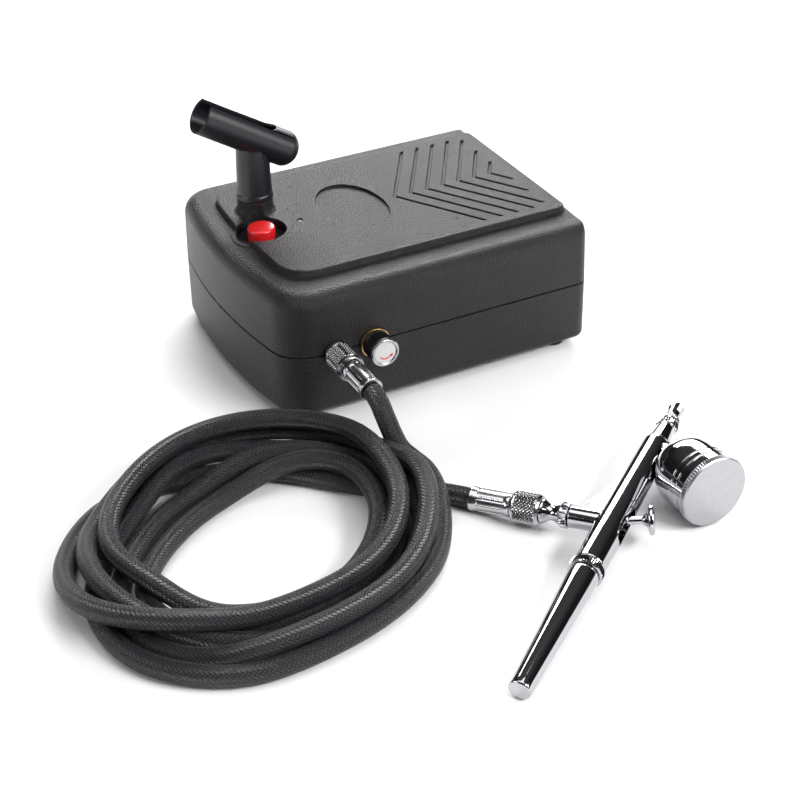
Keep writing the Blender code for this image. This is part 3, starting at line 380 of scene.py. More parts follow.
def braid():
    """A sleeve of black nylon yarn, two over and two under, each yarn a ribbon of a few filaments."""
    yarns = 18.0
    paint = Paint("braided_nylon", (0.003, 0.003, 0.004), 0.35, Specular_IOR_Level=0.5)
    turn, along = paint.unwrapped()
    pitch = paint.times(along, 0.8 / (pi * HOSE_DIAMETER))
    wander = paint.times(paint.noise(14.0, place=paint.vector(turn, pitch)), 0.012)
    whole, crown = [], []
    for sign in (1.0, -1.0):
        slope = paint.math("MULTIPLY_ADD", pitch, sign, turn)
        place = paint.times(paint.math("ADD", slope, wander), yarns)
        part = paint.math("FRACT", place)
        edge = paint.math("MULTIPLY_ADD", part, 2.0, -1.0)
        ribbon = paint.math("SUBTRACT", 1.0, paint.math("POWER", paint.math("ABSOLUTE", edge), 2.5))
        thread = paint.math("SINE", paint.times(part, 8 * pi))
        whole.append(paint.math("FLOOR", place))
        crown.append(paint.math("MULTIPLY_ADD", thread, 0.1, ribbon))
    beat = paint.math("FLOORED_MODULO", paint.math("ADD", *whole), 4.0)
    over = paint.math("LESS_THAN", beat, 1.5)
    under = paint.math("SUBTRACT", 1.0, over)
    height = paint.math("ADD", paint.times(over, crown[0]), paint.times(under, crown[1]))
    fuzz = paint.noise(3.0, 3.0, place=paint.vector(paint.times(turn, 60.0), paint.times(along, 2.5)))
    # Painted highlight and shade: the colour is lighter on the crowns of the yarns and darker between them.
    blacks = [(0.5, (0.001, 0.001, 0.0015)), (0.85, (0.004, 0.0042, 0.0055)), (1, (0.05, 0.052, 0.06))]
    crown_highlight_gap_shade = paint.ramp(paint.times(height, paint.math("MULTIPLY_ADD", fuzz, 0.7, 0.6)), blacks)
    relief = paint.math("MULTIPLY_ADD", fuzz, 0.25, height)
    return paint.finish(crown_highlight_gap_shade, (fuzz, 0.26, 0.42), (relief, 0.45, 1.0))


FINISHES = {
    "pebbled": ("casing_black", pebbled_plastic()),
    "satin": ("satin_black", satin_plastic()),
    "rubber": ("black_rubber", rubber()),
    "red": ("button_red", gloss_red()),
    "lens": ("led_red", moulded_pale("red_lens", (0.16, 0.012, 0.012), 0.15, 0.3, Transmission_Weight=0.25)),
    "chrome": ("polished_chrome", chrome("polished_chrome", (0.47, 0.475, 0.49), 0.03, 0.1)),
    "dark_chrome": ("dark_chrome", chrome("dark_chrome", (0.3, 0.305, 0.315), 0.12, 0.24)),
    "satin_chrome": ("satin_chrome", turned_metal("satin_chrome", (0.44, 0.44, 0.455), 0.26, 0.38)),
    "crimped": (
        "satin_chrome", turned_metal("crimped_chrome", (0.58, 0.58, 0.595), 0.12, 0.24, 9.0, 0.008)
    ),
    "pale_face": ("satin_chrome", turned_metal("silver_face", (0.78, 0.77, 0.77), 0.3, 0.42)),
    "brass": ("brass", turned_metal("turned_brass", (0.78, 0.55, 0.22), 0.14, 0.26)),
    "braid": ("braided_nylon", braid()),
}


# ---- shapes

TINY = 1e-6


class Shape:
    """Points in millimetres, faces, each face corner's (turn, along) and each point's depth in a groove."""

    def __init__(self, points, faces, corners=None, grooves=None):
        self.points = [tuple(point) for point in points]
        self.faces = faces
        self.corners = corners or [[(0.0, 0.0)] * len(face) for face in faces]
        self.grooves = grooves or [0.0] * len(points)

    def placed(self, matrix):
        self.points = [tuple(matrix @ Vector(point)) for point in self.points]
        return self


def axes(origin, ahead, across):
    """A place whose Z runs ahead and whose X runs across."""
    z = Vector(ahead).normalized()
    x = (Vector(across) - Vector(across).dot(z) * z).normalized()
    return place_of(x, z.cross(x), z, origin)


def rounded(profile, radius=0.25, steps=3):
    """The polyline with its inner corners rounded; a corner's third value is its own radius."""
    points = [profile[0][:2]]
    for before, here, after in zip(profile, profile[1:], profile[2:]):
        corner = np.array(here[:2], float)
        size = here[2] if len(here) > 2 else radius
        legs = [np.array(other[:2], float) - corner for other in (before, after)]
        lengths = [np.linalg.norm(leg) for leg in legs]
        reach = min(size, 0.45 * lengths[0], 0.45 * lengths[1])
        if reach < 0.01:
            points.append(tuple(corner))
            continue
        first, last = (corner + leg / length * reach for leg, length in zip(legs, lengths))
        for i in range(steps + 1):
            t = i / steps
            points.append(tuple((1 - t) ** 2 * first + 2 * t * (1 - t) * corner + t * t * last))
    return points + [profile[-1][:2]]


def divided(profile, start, end, step):
    """The profile with every stretch between start and end along the axis cut into short pieces."""
    points = [profile[0]]
    for a, b in zip(profile, profile[1:]):
        inside = min(a[1], b[1]) >= start - TINY and max(a[1], b[1]) <= end + TINY
        count = max(1, int(round(abs(b[1] - a[1]) / step))) if inside else 1
        for i in range(1, count + 1):
            points.append((a[0] + (b[0] - a[0]) * i / count, a[1] + (b[1] - a[1]) * i / count))
    return points


def skin(rings, travelled):
    """The faces between neighbouring rings, and their (turn, along) corners; a ring may be one point."""
    sides = len(rings[0])
    faces, corners = [], []
    for near, far, low, high in zip(rings, rings[1:], travelled, travelled[1:]):
        for i in range(sides):
            n = (i + 1) % sides
            quad = [near[i], near[n], far[n], far[i]]
            begin, end = i / sides, (i + 1) / sides
            spots = [(begin, low), (end, low), (end, high), (begin, high)]
            kept = [q for q in range(4) if quad[q] != quad[(q + 1) % 4]]
            if len(kept) > 2:
                faces.append([quad[q] for q in kept])
                corners.append([spots[q] for q in kept])
    return faces, corners


def turned(profile, steps=96, cut=None, closed=False, painted_groove_shade=True):
    """A surface turned about Z from (radius, along) points; cut(radius, along, turn) reshapes the radius."""
    points, grooves, rings = [], [], []
    for radius, along in profile:
        start = len(points)
        if radius < TINY:
            points.append((0.0, 0.0, along))
            grooves.append(0.0)
            rings.append([start] * steps)
            continue
        for i in range(steps):
            turn = 2 * pi * i / steps
            reach = cut(radius, along, turn) if cut else radius
            points.append((reach * cos(turn), reach * sin(turn), along))
            # Each point's depth in its groove; the materials paint shade into the grooves from it.
            grooves.append(radius - reach if painted_groove_shade else 0.0)
        rings.append([start + i for i in range(steps)])
    order = list(range(len(rings))) + [0] * closed
    travelled = [0.0]
    for j, k in zip(order, order[1:]):
        length = sqrt((profile[k][0] - profile[j][0]) ** 2 + (profile[k][1] - profile[j][1]) ** 2)
        travelled.append(travelled[-1] + length)
    faces, corners = skin([rings[j] for j in order], travelled)
    return Shape(points, faces, corners, grooves)


def wave(value):
    """0 at each whole number and 1 halfway between."""
    return 1 - abs(2 * (value - np.floor(value)) - 1)


def straight_knurl(start, end, teeth, depth):
    def cut(radius, along, turn):
        inside = start - TINY <= along <= end + TINY
        return radius - depth * (1 - wave(turn / (2 * pi) * teeth)) if inside else radius

    return cut


def diamond_knurl(start, end, teeth, depth, radius_from=0.0):
    """Pyramids between two families of 45 degree grooves, fading out at both ends."""

    def cut(radius, along, turn):
        if along < start or along > end or radius < radius_from:
            return radius
        pitch = 2 * pi * radius_from / teeth
        around = turn / (2 * pi) * teeth
        low = min(wave(around + along / pitch), wave(around - along / pitch))
        fade = min(1.0, (along - start) / 0.5, (end - along) / 0.5)
        return radius - depth * fade * (1 - low)

    return cut


def flutes(start, end, count, depth):
    """Long shallow pockets pressed into a crimped ferrule."""

    def cut(radius, along, turn):
        if along < start or along > end:
            return radius
        lobe = wave(turn / (2 * pi) * count)
        edge = min(1.0, (along - start) / 0.45, (end - along) / 0.45)
        return radius - depth * max(0.0, edge) * min(1.0, max(0.0, (lobe - 0.34) * 6))

    return cut


def prism(outline, start, end):
    """A solid between two copies of a counter-clockwise outline in XY."""
    count = len(outline)
    points = [(x, y, z) for z in (start, end) for x, y in outline]
    faces = [list(range(count))[::-1], list(range(count, 2 * count))]
    faces += skin([range(count), range(count, 2 * count)], [0.0, 0.0])[0]
    return Shape(points, faces)


def lofted(rings):
    """A closed skin through rings of equal length, with a face at each end."""
    count = len(rings[0])
    points = [point for ring in rings for point in ring]
    order = [range(start, start + count) for start in range(0, len(points), count)]
    faces = skin(order, [0.0] * len(rings))[0]
    return Shape(points, faces + [list(order[0])[::-1], list(order[-1])])


def mesh_of(shape, name):
    mesh = bpy.data.meshes.new(name)
    mesh.from_pydata([tuple(MM * part for part in point) for point in shape.points], [], shape.faces)
    layer = mesh.uv_layers.new(name="round")
    layer.data.foreach_set("uv", [part for face in shape.corners for corner in face for part in corner])
    mesh.attributes.new("groove", "FLOAT", "POINT").data.foreach_set("value", shape.grooves)
    return mesh


def link(name, data):
    obj = bpy.data.objects.new(name, data)
    bpy.context.scene.collection.objects.link(obj)
    return obj


def face_out(mesh):
    shell = bmesh.new()
    shell.from_mesh(mesh)
    bmesh.ops.recalc_face_normals(shell, faces=shell.faces)
    shell.to_mesh(mesh)
    shell.free()


def apply_modifiers(obj):
    graph = bpy.context.evaluated_depsgraph_get()
    result = bpy.data.meshes.new_from_object(obj.evaluated_get(graph))
    obj.modifiers.clear()
    old = obj.data
    obj.data = result
    bpy.data.meshes.remove(old)


def carve(obj, operation, shape):
    """Joins a shape to the object or cuts it away, and applies the result at once."""
    mesh = mesh_of(shape, "tool")
    face_out(mesh)
    tool = link("tool", mesh)
    step = obj.modifiers.new("step", "BOOLEAN")
    step.operation = operation
    step.solver = "EXACT"
    step.object = tool
    apply_modifiers(obj)
    bpy.data.objects.remove(tool)
    bpy.data.meshes.remove(mesh)


def piece(name, shape, nodes, finish, body="compressor", edge=32.0, bevel=0.0, carving=()):
    """One finished piece of the object, standing for the CAD nodes that are named."""
    slot, material = FINISHES[finish]
    obj = link(name, mesh_of(shape, name))
    face_out(obj.data)
    for operation, tool in carving:
        carve(obj, operation, tool)
    if bevel:
        soften = obj.modifiers.new("edges", "BEVEL")
        soften.width = bevel * MM
        soften.segments = 2
        soften.limit_method = "ANGLE"
        soften.angle_limit = radians(38)
        soften.use_clamp_overlap = False
        soften.miter_outer = "MITER_ARC"
        apply_modifiers(obj)
    obj.data.name = name
    obj.data.materials.clear()
    obj.data.materials.append(material)
    obj.data.shade_smooth()
    obj.data.set_sharp_from_angle(angle=radians(edge))
    if bevel:
        flat = obj.modifiers.new("flat_faces", "WEIGHTED_NORMAL")
        flat.keep_sharp = True
        flat.weight = 90
    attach(obj, body)
    if nodes:
        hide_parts(*nodes)
    return obj


def lathed(name, nodes, finish, place, profile, steps=96, cut=None, closed=False, radius=0.25, **rest):
    """A finished piece turned from a profile with rounded corners, about the Z of its place."""
    shape = turned(rounded(profile, radius), steps, cut, closed).placed(place)
    return piece(name, shape, nodes, finish, **rest)


# ---- the airbrush's place


def brush_axes():
    """The airbrush's origin, its axis to the nozzle, its side and the way up to the cup, from its joints."""
    joints = {joint["name"]: joint for joint in frame["joints"]}
    ahead = Vector(joints["handle_unscrew"]["axis"]).normalized()
    up = Vector(joints["brush_nut_turn"]["axis"])
    up = (up - up.dot(ahead) * ahead).normalized()
    origin = Vector(joints["handle_unscrew"]["pos_m"]) / MM - 30.0 * ahead
    return origin, ahead, up.cross(ahead), up


BRUSH, AHEAD, ASIDE, UP = brush_axes()
CUP_UP = cos(CUP_LEAN) * UP - sin(CUP_LEAN) * AHEAD


def on_brush(ahead, aside=0.0, up=0.0):
    return BRUSH + ahead * AHEAD + aside * ASIDE + up * UP


BARREL = axes(BRUSH, AHEAD, UP)
VALVE = axes(on_brush(VALVE_AT), UP, AHEAD)
CUP = axes(on_brush(CUP_AT), CUP_UP, ASIDE)


# ---- hose

# One row for each turn of the coil, from 90 degrees on clockwise by 30: how far out the hose lies, as a
# share of COIL_HALF, and how many hoses lie under it.
TURNS = [
    [(1.2, 1), (1.15, 0.1), (1.13, 0), (1.17, 0), (1.3, 0), (1.2, 0),
     (1.09, 0), (0.96, 0), (0.99, 0.4), (1.17, 1), (1.2, 0.3), (1.19, 0)],
    [(1.07, 1), (0.99, 0), (0.98, 0), (0.98, 0), (1.06, 0.5), (1.06, 0.7),
     (1.02, 1), (1.1, 0.7), (1.15, 0.7), (1.24, 1.1), (1.26, 1.1), (1.2, 1.1)],
    [(1.12, 2), (1.06, 1.3), (1.07, 0.9), (1.11, 0.8), (1.17, 0.3), (1.09, 0),
     (0.92, 0), (0.79, 0), (0.82, 0), (0.88, 0.3), (1.03, 1), (1.06, 0.7)],
    [(0.95, 1), (0.86, 0), (0.84, 0), (0.84, 0), (0.92, 0), (0.88, 0),
     (0.74, 0), (0.62, 0), (0.61, 0), (0.7, 0), (0.86, 0.7), (0.96, 1)],
    [(0.84, 1), (0.74, 0.4), (0.7, 0), (0.7, 0), (0.73, 0), (0.71, 0.1),
     (0.82, 0.9), (0.97, 1.2), (1.08, 1.6), (1.22, 1.9), (1.22, 2), (1.12, 2)],
    [(0.95, 1.9), (0.86, 1.3), (0.82, 1), (0.82, 1), (0.95, 1.1), (1.12, 1.5),
     (1.2, 0.8), (1.23, 0.1), (1.19, 0), (1.04, 0), (0.9, 0), (0.88, 0)],
]
HOSE_LEAD = [
    (79.7, -43.5, 29.0),
    (82.4, -43.5, 28.2),
    (86.0, -43.3, 25.2),
    (90.0, -42.6, 20.0),
    (93.6, -41.7, 15.3),
    (97.0, -40.8, 12.6),
    (104.0, -39.5, 11.0),
]
HOSE_TAIL = [(98.0, -57.2, 3.65), (107.5, -44.8, 3.7), (113.8, -36.6, 3.8), (118.9, -31.7, 4.1)]
STRAND_GAP = 0.25
COARSE_STEP = 6.0
FINE_STEP = 2.0
HELD_POINTS = 5


def smooth_line(points, step):
    """A Catmull-Rom curve through the points, cut into equal steps."""
    points = [np.array(point, float) for point in points]
    points = [2 * points[0] - points[1], *points, 2 * points[-1] - points[-2]]
    line = []
    for a, b, c, d in zip(points, points[1:], points[2:], points[3:]):
        for t in np.linspace(0, 1, 16, endpoint=False):
            square, cube = 2 * a - 5 * b + 4 * c - d, 3 * b - a - 3 * c + d
            line.append(0.5 * (2 * b + (c - a) * t + square * t**2 + cube * t**3))
    line = np.array(line + [points[-2]])
    travelled = np.r_[0, np.cumsum(np.linalg.norm(np.diff(line, axis=0), axis=1))]
    places = np.linspace(0, travelled[-1], int(round(travelled[-1] / step)) + 1)
    return np.stack([np.interp(places, travelled, line[:, k]) for k in range(3)], 1)


def settled(line, rounds=240):
    """The hose pushed apart where it lies in itself, eased to its stiffness, and let down on the floor."""
    start = line.copy()
    line = line.copy()
    clear = HOSE_DIAMETER + STRAND_GAP
    count = len(line)
    step = np.linalg.norm(np.diff(line, axis=0), axis=1).mean()
    index = np.arange(count)
    apart = np.abs(index[:, None] - index[None]) >= round(2.2 * clear / step)
    free = np.ones((count, 1))
    free[:HELD_POINTS] = 0
    free[-HELD_POINTS:] = 0
    for _ in range(rounds):
        offset = line[:, None] - line[None]
        gap = np.linalg.norm(offset, axis=2) + 1e-9
        overlap = np.where(apart & (gap < clear), (clear - gap) / 2, 0)
        push = (offset / gap[..., None] * overlap[..., None]).sum(1)
        line += free * np.clip(push, -0.8, 0.8)
        bend = np.zeros_like(line)
        bend[1:-1] = (line[:-2] + line[2:]) / 2 - line[1:-1]
        stiff = np.zeros_like(line)
        stiff[1:-1] = (bend[:-2] + bend[2:]) / 2 - bend[1:-1]
        line -= free * 0.5 * stiff
        line += free * 0.02 * (start - line)
        line[:, 2:] -= free * 0.02
        line[:, 2] = np.maximum(line[:, 2], HOSE_DIAMETER / 2)
    return line


def hose_route():
    points = list(HOSE_LEAD)
    for row in TURNS:
        for station, (reach, level) in enumerate(row):
            turn = radians(90 - 30 * station)
            x = COIL_CENTRE[0] + COIL_HALF[0] * reach * cos(turn)
            y = COIL_CENTRE[1] + COIL_HALF[1] * reach * sin(turn)
            points.append((x, y, HOSE_DIAMETER * (0.5 + level)))
    ends = [on_brush(VALVE_AT, 0, BRUSH_FERRULE_END - GAP - out) for out in (1.6, 0.0)]
    exit_place = (FERRULE_END + GAP, OUTLET_Y, FITTING_Z)
    coarse = smooth_line([exit_place, *points, *HOSE_TAIL, *ends], COARSE_STEP)
    return smooth_line(settled(coarse), FINE_STEP)


def swept(line, radius, sides=28):
    """A round tube along the line, its section carried without twist, closed at both ends."""
    ahead = np.gradient(line, axis=0)
    ahead /= np.linalg.norm(ahead, axis=1)[:, None]
    across = np.cross(ahead[0], (0, 0, 1.0))
    points, travelled = [], [0.0]
    for i, (place, way) in enumerate(zip(line, ahead)):
        across = across - across.dot(way) * way
        across /= np.linalg.norm(across)
        up = np.cross(way, across)
        for j in range(sides):
            turn = 2 * pi * j / sides
            points.append(place + radius * (cos(turn) * across + sin(turn) * up))
        if i:
            travelled.append(travelled[-1] + np.linalg.norm(place - line[i - 1]))
    faces, corners = skin([range(start, start + sides) for start in range(0, len(points), sides)], travelled)
    faces += [list(range(sides))[::-1], list(range(len(points) - sides, len(points)))]
    corners += [[(0.0, 0.0)] * sides] * 2
    return Shape(points, faces, corners)


# ---- casing


def case_outline(side, front, back, corner=0.0, sagitta=FRONT_SAGITTA):
    """The casing's plan with its bowed front and rounded corners, moved in by side, front and back."""
    half = CASE_HALF_WIDTH - side
    front_y = -CASE_LENGTH / 2 + front
    back_y = CASE_LENGTH / 2 - back
    front_radius = max(FRONT_CORNER - corner, 1.0)
    back_radius = max(BACK_CORNER - corner, 1.0)
    arc = (CASE_HALF_WIDTH**2 + sagitta**2) / (2 * sagitta)
    corner_x = half - front_radius
    corner_y = front_y + arc - sqrt((arc - front_radius) ** 2 - corner_x**2)
    swing = np.arcsin(corner_x / (arc - front_radius))
    points = [(arc * sin(t), front_y + arc - arc * cos(t)) for t in np.linspace(-swing, swing, 33)]
    for t in np.linspace(-pi / 2 + swing, 0, 13)[1:]:
        points.append((corner_x + front_radius * cos(t), corner_y + front_radius * sin(t)))
    for x, begin in ((half - back_radius, 0), (back_radius - half, pi / 2)):
        for t in np.linspace(begin, begin + pi / 2, 11):
            points.append((x + back_radius * cos(t), back_y - back_radius + back_radius * sin(t)))
    for t in np.linspace(pi, pi * 1.5 - swing, 12, endpoint=False):
        points.append((-corner_x + front_radius * cos(t), corner_y + front_radius * sin(t)))
    return [(x + CASE_X, y) for x, y in points]


def case_ring(z, side, front=None, back=None, corner=None, sagitta=FRONT_SAGITTA):
    front = side if front is None else front
    back = side if back is None else back
    corner = side if corner is None else corner
    return [(x, y, z) for x, y in case_outline(side, front, back, corner, sagitta)]


def panel_ring(z, inset):
    return case_ring(z, PANEL_SIDE + inset, PANEL_FRONT + inset, PANEL_BACK + inset, 1.0 + inset, 4.6)


def upright(place):
    """A place whose Z is the table's, over a point in the plan."""
    return Matrix.Translation((*place, 0.0))


def bar(radius, start, end, steps=48, place=(0.0, 0.0)):
    return turned([(0, start), (radius, start), (radius, end), (0, end)], steps).placed(upright(place))


def join(*shapes):
    return [("UNION", shape) for shape in shapes]


def cut_away(*shapes):
    return [("DIFFERENCE", shape) for shape in shapes]


OUTLET, KNOB = (axes((0, y, FITTING_Z), (1, 0, 0), (0, 0, 1)) for y in (OUTLET_Y, KNOB_Y))


def side_holes():
    holes = ((OUTLET, 4.2), (KNOB, 3.4))
    return cut_away(*[bar(radius, SIDE_X - 4, SIDE_X + 2).placed(place) for place, radius in holes])


def chevron(apex):
    """A V-shaped groove, its walls drafted, with its arms cut off at the panel's side or back."""
    reach = min(CHEVRON_HALF_SPAN, (CHEVRON_BACK - apex) / CHEVRON_RISE)
    far = apex + CHEVRON_RISE * reach
    rings = []
    for z, half in ((PANEL_TOP - 0.9, 0.5), (PANEL_TOP, 0.7), (PANEL_TOP + 1, 1.0)):
        ends = reach + (half - 0.6)
        wide = half * 1.1
        spots = [(0, apex - wide), (ends, far - wide), (ends, far + wide)]
        spots += [(0, apex + wide), (-ends, far + wide), (-ends, far - wide)]
        rings.append([(CASE_X + x, y, z) for x, y in spots])
    return lofted(rings)


def oval(start, end):
    turns = np.linspace(0, 2 * pi, 96, endpoint=False)
    outline = [(BADGE_HALF[0] * cos(t), BADGE_HALF[1] * sin(t)) for t in turns]
    return prism(outline, start, end).placed(upright(BADGE_CENTRE))


def casing_top():
    base = PARTING + 0.2
    inner = [PANEL_SIDE + 2.4, PANEL_FRONT + 2.4, 6.0, 5.0, 4.6]
    rings = [case_ring(z, *inner) for z in (PANEL_TOP - 2.4, ROOF)]
    for drop, side in ((0.0, 4.0), (1.6, 1.2), (5.0, 0.3)):
        rings.append(case_ring(ROOF - drop, WALL + side, corner=WALL))
    for rise, side in ((0.0, WALL), (0.0, 0.35), (0.1, 0.1), (0.4, 0.0)):
        rings.append(case_ring(base + rise, side))
    for t in np.linspace(0, pi / 2, 13):
        inset = 0.4 + SIDE_FILLET * (1 - cos(t))
        back = 0.4 + 2.0 * (1 - cos(t))
        rings.append(case_ring(SHOULDER - 0.4 - SIDE_FILLET * (1 - sin(t)), inset, inset, back, inset))
    edge = [(0, -0.5), (0.06, -0.2), (0.25, 0), (1.7, 0.35), (2.05, 0.55), (2.3, 0.85), (2.4, 1.3)]
    rings += [panel_ring(SHOULDER + z, inset) for z, inset in edge]

    holder = upright(HOLDER_PLACE)
    socket = [(0, 44), (7, 44), (7, SOCKET_TOP), (0, SOCKET_TOP)]
    socket_foot = [(0, 56), (9.2, PANEL_TOP - 0.2), (8, PANEL_TOP + 0.5), (7.3, PANEL_TOP + 1.6)]
    socket_foot += [(7, 60), (0, 60)]
    carving = join(
        bar(11.6, 50.6, 54.9, 96, BUTTON_PLACE),
        turned(rounded(socket, 0.5), 96).placed(holder),
        turned(socket_foot, 96).placed(holder),
    )
    carving += cut_away(
        bar(WELL_RADIUS, WELL_FLOOR, 62.0, 96, BUTTON_PLACE),
        bar(5.75, 48.0, 60.0, 64, BUTTON_PLACE),
        bar(5.2, 46.5, 66.0, 64, HOLDER_PLACE),
        bar(1.15, 50.0, 60.0, 32, LED_PLACE),
        oval(PANEL_TOP - 1.0, PANEL_TOP + 1),
    )
    for foot in FEET:
        carving += join(bar(4.1, 31.3, 52.9, 24, foot)) + cut_away(bar(1.7, 30.0, 46.0, 16, foot))
    carving += side_holes()
    carving += cut_away(*[chevron(CHEVRON_FIRST + i * CHEVRON_PITCH) for i in range(CHEVRONS)])
    piece("casing_top", lofted(rings), ["upper_case"], "pebbled", edge=40, bevel=0.22, carving=carving)


def casing_base():
    floor = CASE_BOTTOM + WALL
    top = PARTING - 0.2
    lip = 1.75
    rings = [case_ring(CASE_BOTTOM, 3.4)]
    for t in np.linspace(0.15, pi / 2, 9):
        rings.append(case_ring(CASE_BOTTOM + 2.6 * (1 - cos(t)), 2.6 - 2.6 * sin(t)))
    rings += [case_ring(top - drop, side) for drop, side in ((0.4, 0.0), (0.1, 0.1), (0.0, 0.35))]
    within = [(top, GAP), (top + lip, GAP), (top + lip, 1.5), (top - 1.5, 1.5), (top - 2.8, 0)]
    within += [(floor + 1.5, 0.2), (floor, 1.8)]
    rings += [case_ring(z, WALL + side) for z, side in within]
    bore = [(0, 2.5), (4.3, 2.5), (4.3, 4.7), (3.2, 4.7), (3.2, 12.6), (1.7, 12.6), (1.7, 33), (0, 33)]
    carving = join(*[bar(4.9, floor - 0.6, 30.6, 32, foot) for foot in FEET])
    carving += cut_away(*[turned(bore, 32).placed(upright(foot)) for foot in FEET])
    carving += side_holes()
    carving += cut_away(bar(3.9, 60.0, 70.0).placed(axes((15.0, 0, 19.0), (0, 1, 0), (0, 0, 1))))
    slot = [(-5, -0.9), (5, -0.9), (5, 0.9), (-5, 0.9)]
    places = [(x, -8.0 + i * 4) for i in range(5) for x in (-28, -12)]
    carving += cut_away(*[prism(slot, 2.0, 8.0).placed(upright(place)) for place in places])
    piece("casing_base", lofted(rings), ["lower_case"], "pebbled", edge=40, bevel=0.15, carving=carving)


def feet_and_controls():
    foot = [(0, 0), (3.3, 0), (3.9, 0.6), (4, 4.4), (2.8, 4.4), (2.6, 9.4), (0, 9.4)]
    recess = [(0, -0.2), (1.6, -0.2), (1.9, 0.8), (0, 0.8)]
    for i, place in enumerate(FEET, 1):
        hollow = cut_away(turned(recess, 32).placed(upright(place)))
        lathed(
            f"foot_{i}", [f"rubber_foot_{i}"], "rubber", upright(place), foot, 48, radius=0.35,
            carving=hollow, bevel=0.1,
        )
    cap = [(0, 46), (1.5, 46), (1.5, 51.2), (5.35, 51.2), (5.35, 57.9, 0.7), (4.5, 58.45, 0.6), (0, 58.6)]
    lathed("start_button", ["power_button"], "red", upright(BUTTON_PLACE), cap, body="button")
    lens = [(0, 42.3), (1.1, 42.3), (1.1, 56.2), (0.7, 56.6), (0, 56.7)]
    lathed("power_light", ["power_led"], "lens", upright(LED_PLACE), lens, 32)


# ---- airbrush holder


def airbrush_rest():
    post = [(0, 47.5), (4.8, 47.5), (4.8, SOCKET_TOP + GAP), (7.3, SOCKET_TOP + GAP, 0.3)]
    post += [(7.3, SOCKET_TOP + 1.9, 0.4), (6.9, SOCKET_TOP + 2.6), (6.6, 78), (6.35, 84)]
    post += [(6.2, 89), (0, 89)]
    tilted = Matrix.Translation((*HOLDER_PLACE, CRADLE_HEIGHT)) @ Matrix.Rotation(-CRADLE_TILT, 4, "X")
    lying = tilted @ axes((0, 0, 0), (0, 1, 0), (0, 0, 1))
    nose_end, back_end = 21.0, -23.6
    turns = np.linspace(0, pi / 2, 14)
    cradle = [(7.1 * sin(t) ** 0.9, nose_end - 5.4 * (1 - cos(t) ** 1.15)) for t in turns]
    cradle += [(7.1, back_end), (0, back_end)]
    bore = [(0, back_end - 3), (5.9, back_end - 3), (5.9, 11.6, 1.4), (4.4, 13, 1), (0, 13)]
    slot = [(-4.3, back_end - 3), (4.3, back_end - 3)]
    slot += [(4.3 * cos(t), 3.6 + 4.3 * sin(t)) for t in np.linspace(0, pi, 17)]
    carving = join(turned(cradle, 96).placed(lying))
    carving += cut_away(turned(rounded(bore), 72).placed(lying), prism(slot, 0.0, 12.0).placed(tilted))
    lathed(
        "brush_rest", ["airbrush_holder"], "satin", upright(HOLDER_PLACE), post, body="holder",
        edge=36, bevel=0.3, carving=carving,
    )


# ---- outlet, hose ends and pressure knob


def hose_ferrule(start, end, tail):
    """A crimped sleeve with long pressed flutes, a plain ring at each end, and its stem inside the nut."""
    way = 1 if end > start else -1
    profile = [(1.5, tail), (2.4, tail), (2.4, start), (3.8, start)]
    profile += [(4.25, start + way * 0.5), (4.25, start + way * 1.6), (4.15, start + way * 1.9)]
    profile += [(4.15, end - way * 2.6), (4.3, end - way * 1.9), (4.4, end - way * 0.8)]
    profile += [(4.5, end - way * 0.3), (4.4, end), (1.5, end)]
    low, high = sorted((start + way * 2.2, end - way * 2.9))
    profile = divided(rounded(profile, 0.2, 2), min(start, end), max(start, end), 0.3)
    return turned(profile, 160, flutes(low, high, 8, 0.42), closed=True, painted_groove_shade=False)


def outlet():
    """The outlet's seat, and the union nut and ferrule on it, which belong to the hose."""
    seat = [(1.5, 38.6), (3.6, 38.6), (3.6, SIDE_X + GAP), (5, SIDE_X + GAP), (5, SIDE_X + 1.9)]
    seat += [(3.6, SIDE_X + 1.9), (3.6, 56), (1.5, 56)]
    lathed("outlet_seat", ["outlet_fitting"], "dark_chrome", OUTLET, seat, 72, closed=True)
    low, high = SIDE_X + 3.0, NUT_END - 2.1
    nut = [(3.9, SIDE_X + 2.2), (4.7, SIDE_X + 2.2), (5.35, low), (5.35, high), (5, high + 0.25)]
    nut += [(5, high + 0.6), (5.25, high + 0.8), (5.25, NUT_END - 0.5), (4.8, NUT_END)]
    nut += [(2.7, NUT_END), (2.7, 57.2), (3.9, 57.2)]
    nut = union_nut(OUTLET, nut, low, high, 0.12, 0.14, 256, 5.3)
    ferrule = hose_ferrule(FERRULE_START, FERRULE_END, 57.6).placed(OUTLET)
    return [
        piece("outlet_union_nut", nut, ["outlet_nut"], "dark_chrome", "outlet_union", edge=24),
        piece("outlet_crimp", ferrule, ["outlet_ferrule"], "crimped", edge=24),
    ]


def union_nut(place, profile, low, high, corner, step, sides, radius):
    """A nut with its diamond knurl between low and high along the axis."""
    profile = divided(rounded(profile, corner, 2), low + 0.1, high - 0.1, step)
    return turned(profile, sides, diamond_knurl(low, high, 26, 0.5, radius), closed=True).placed(place)


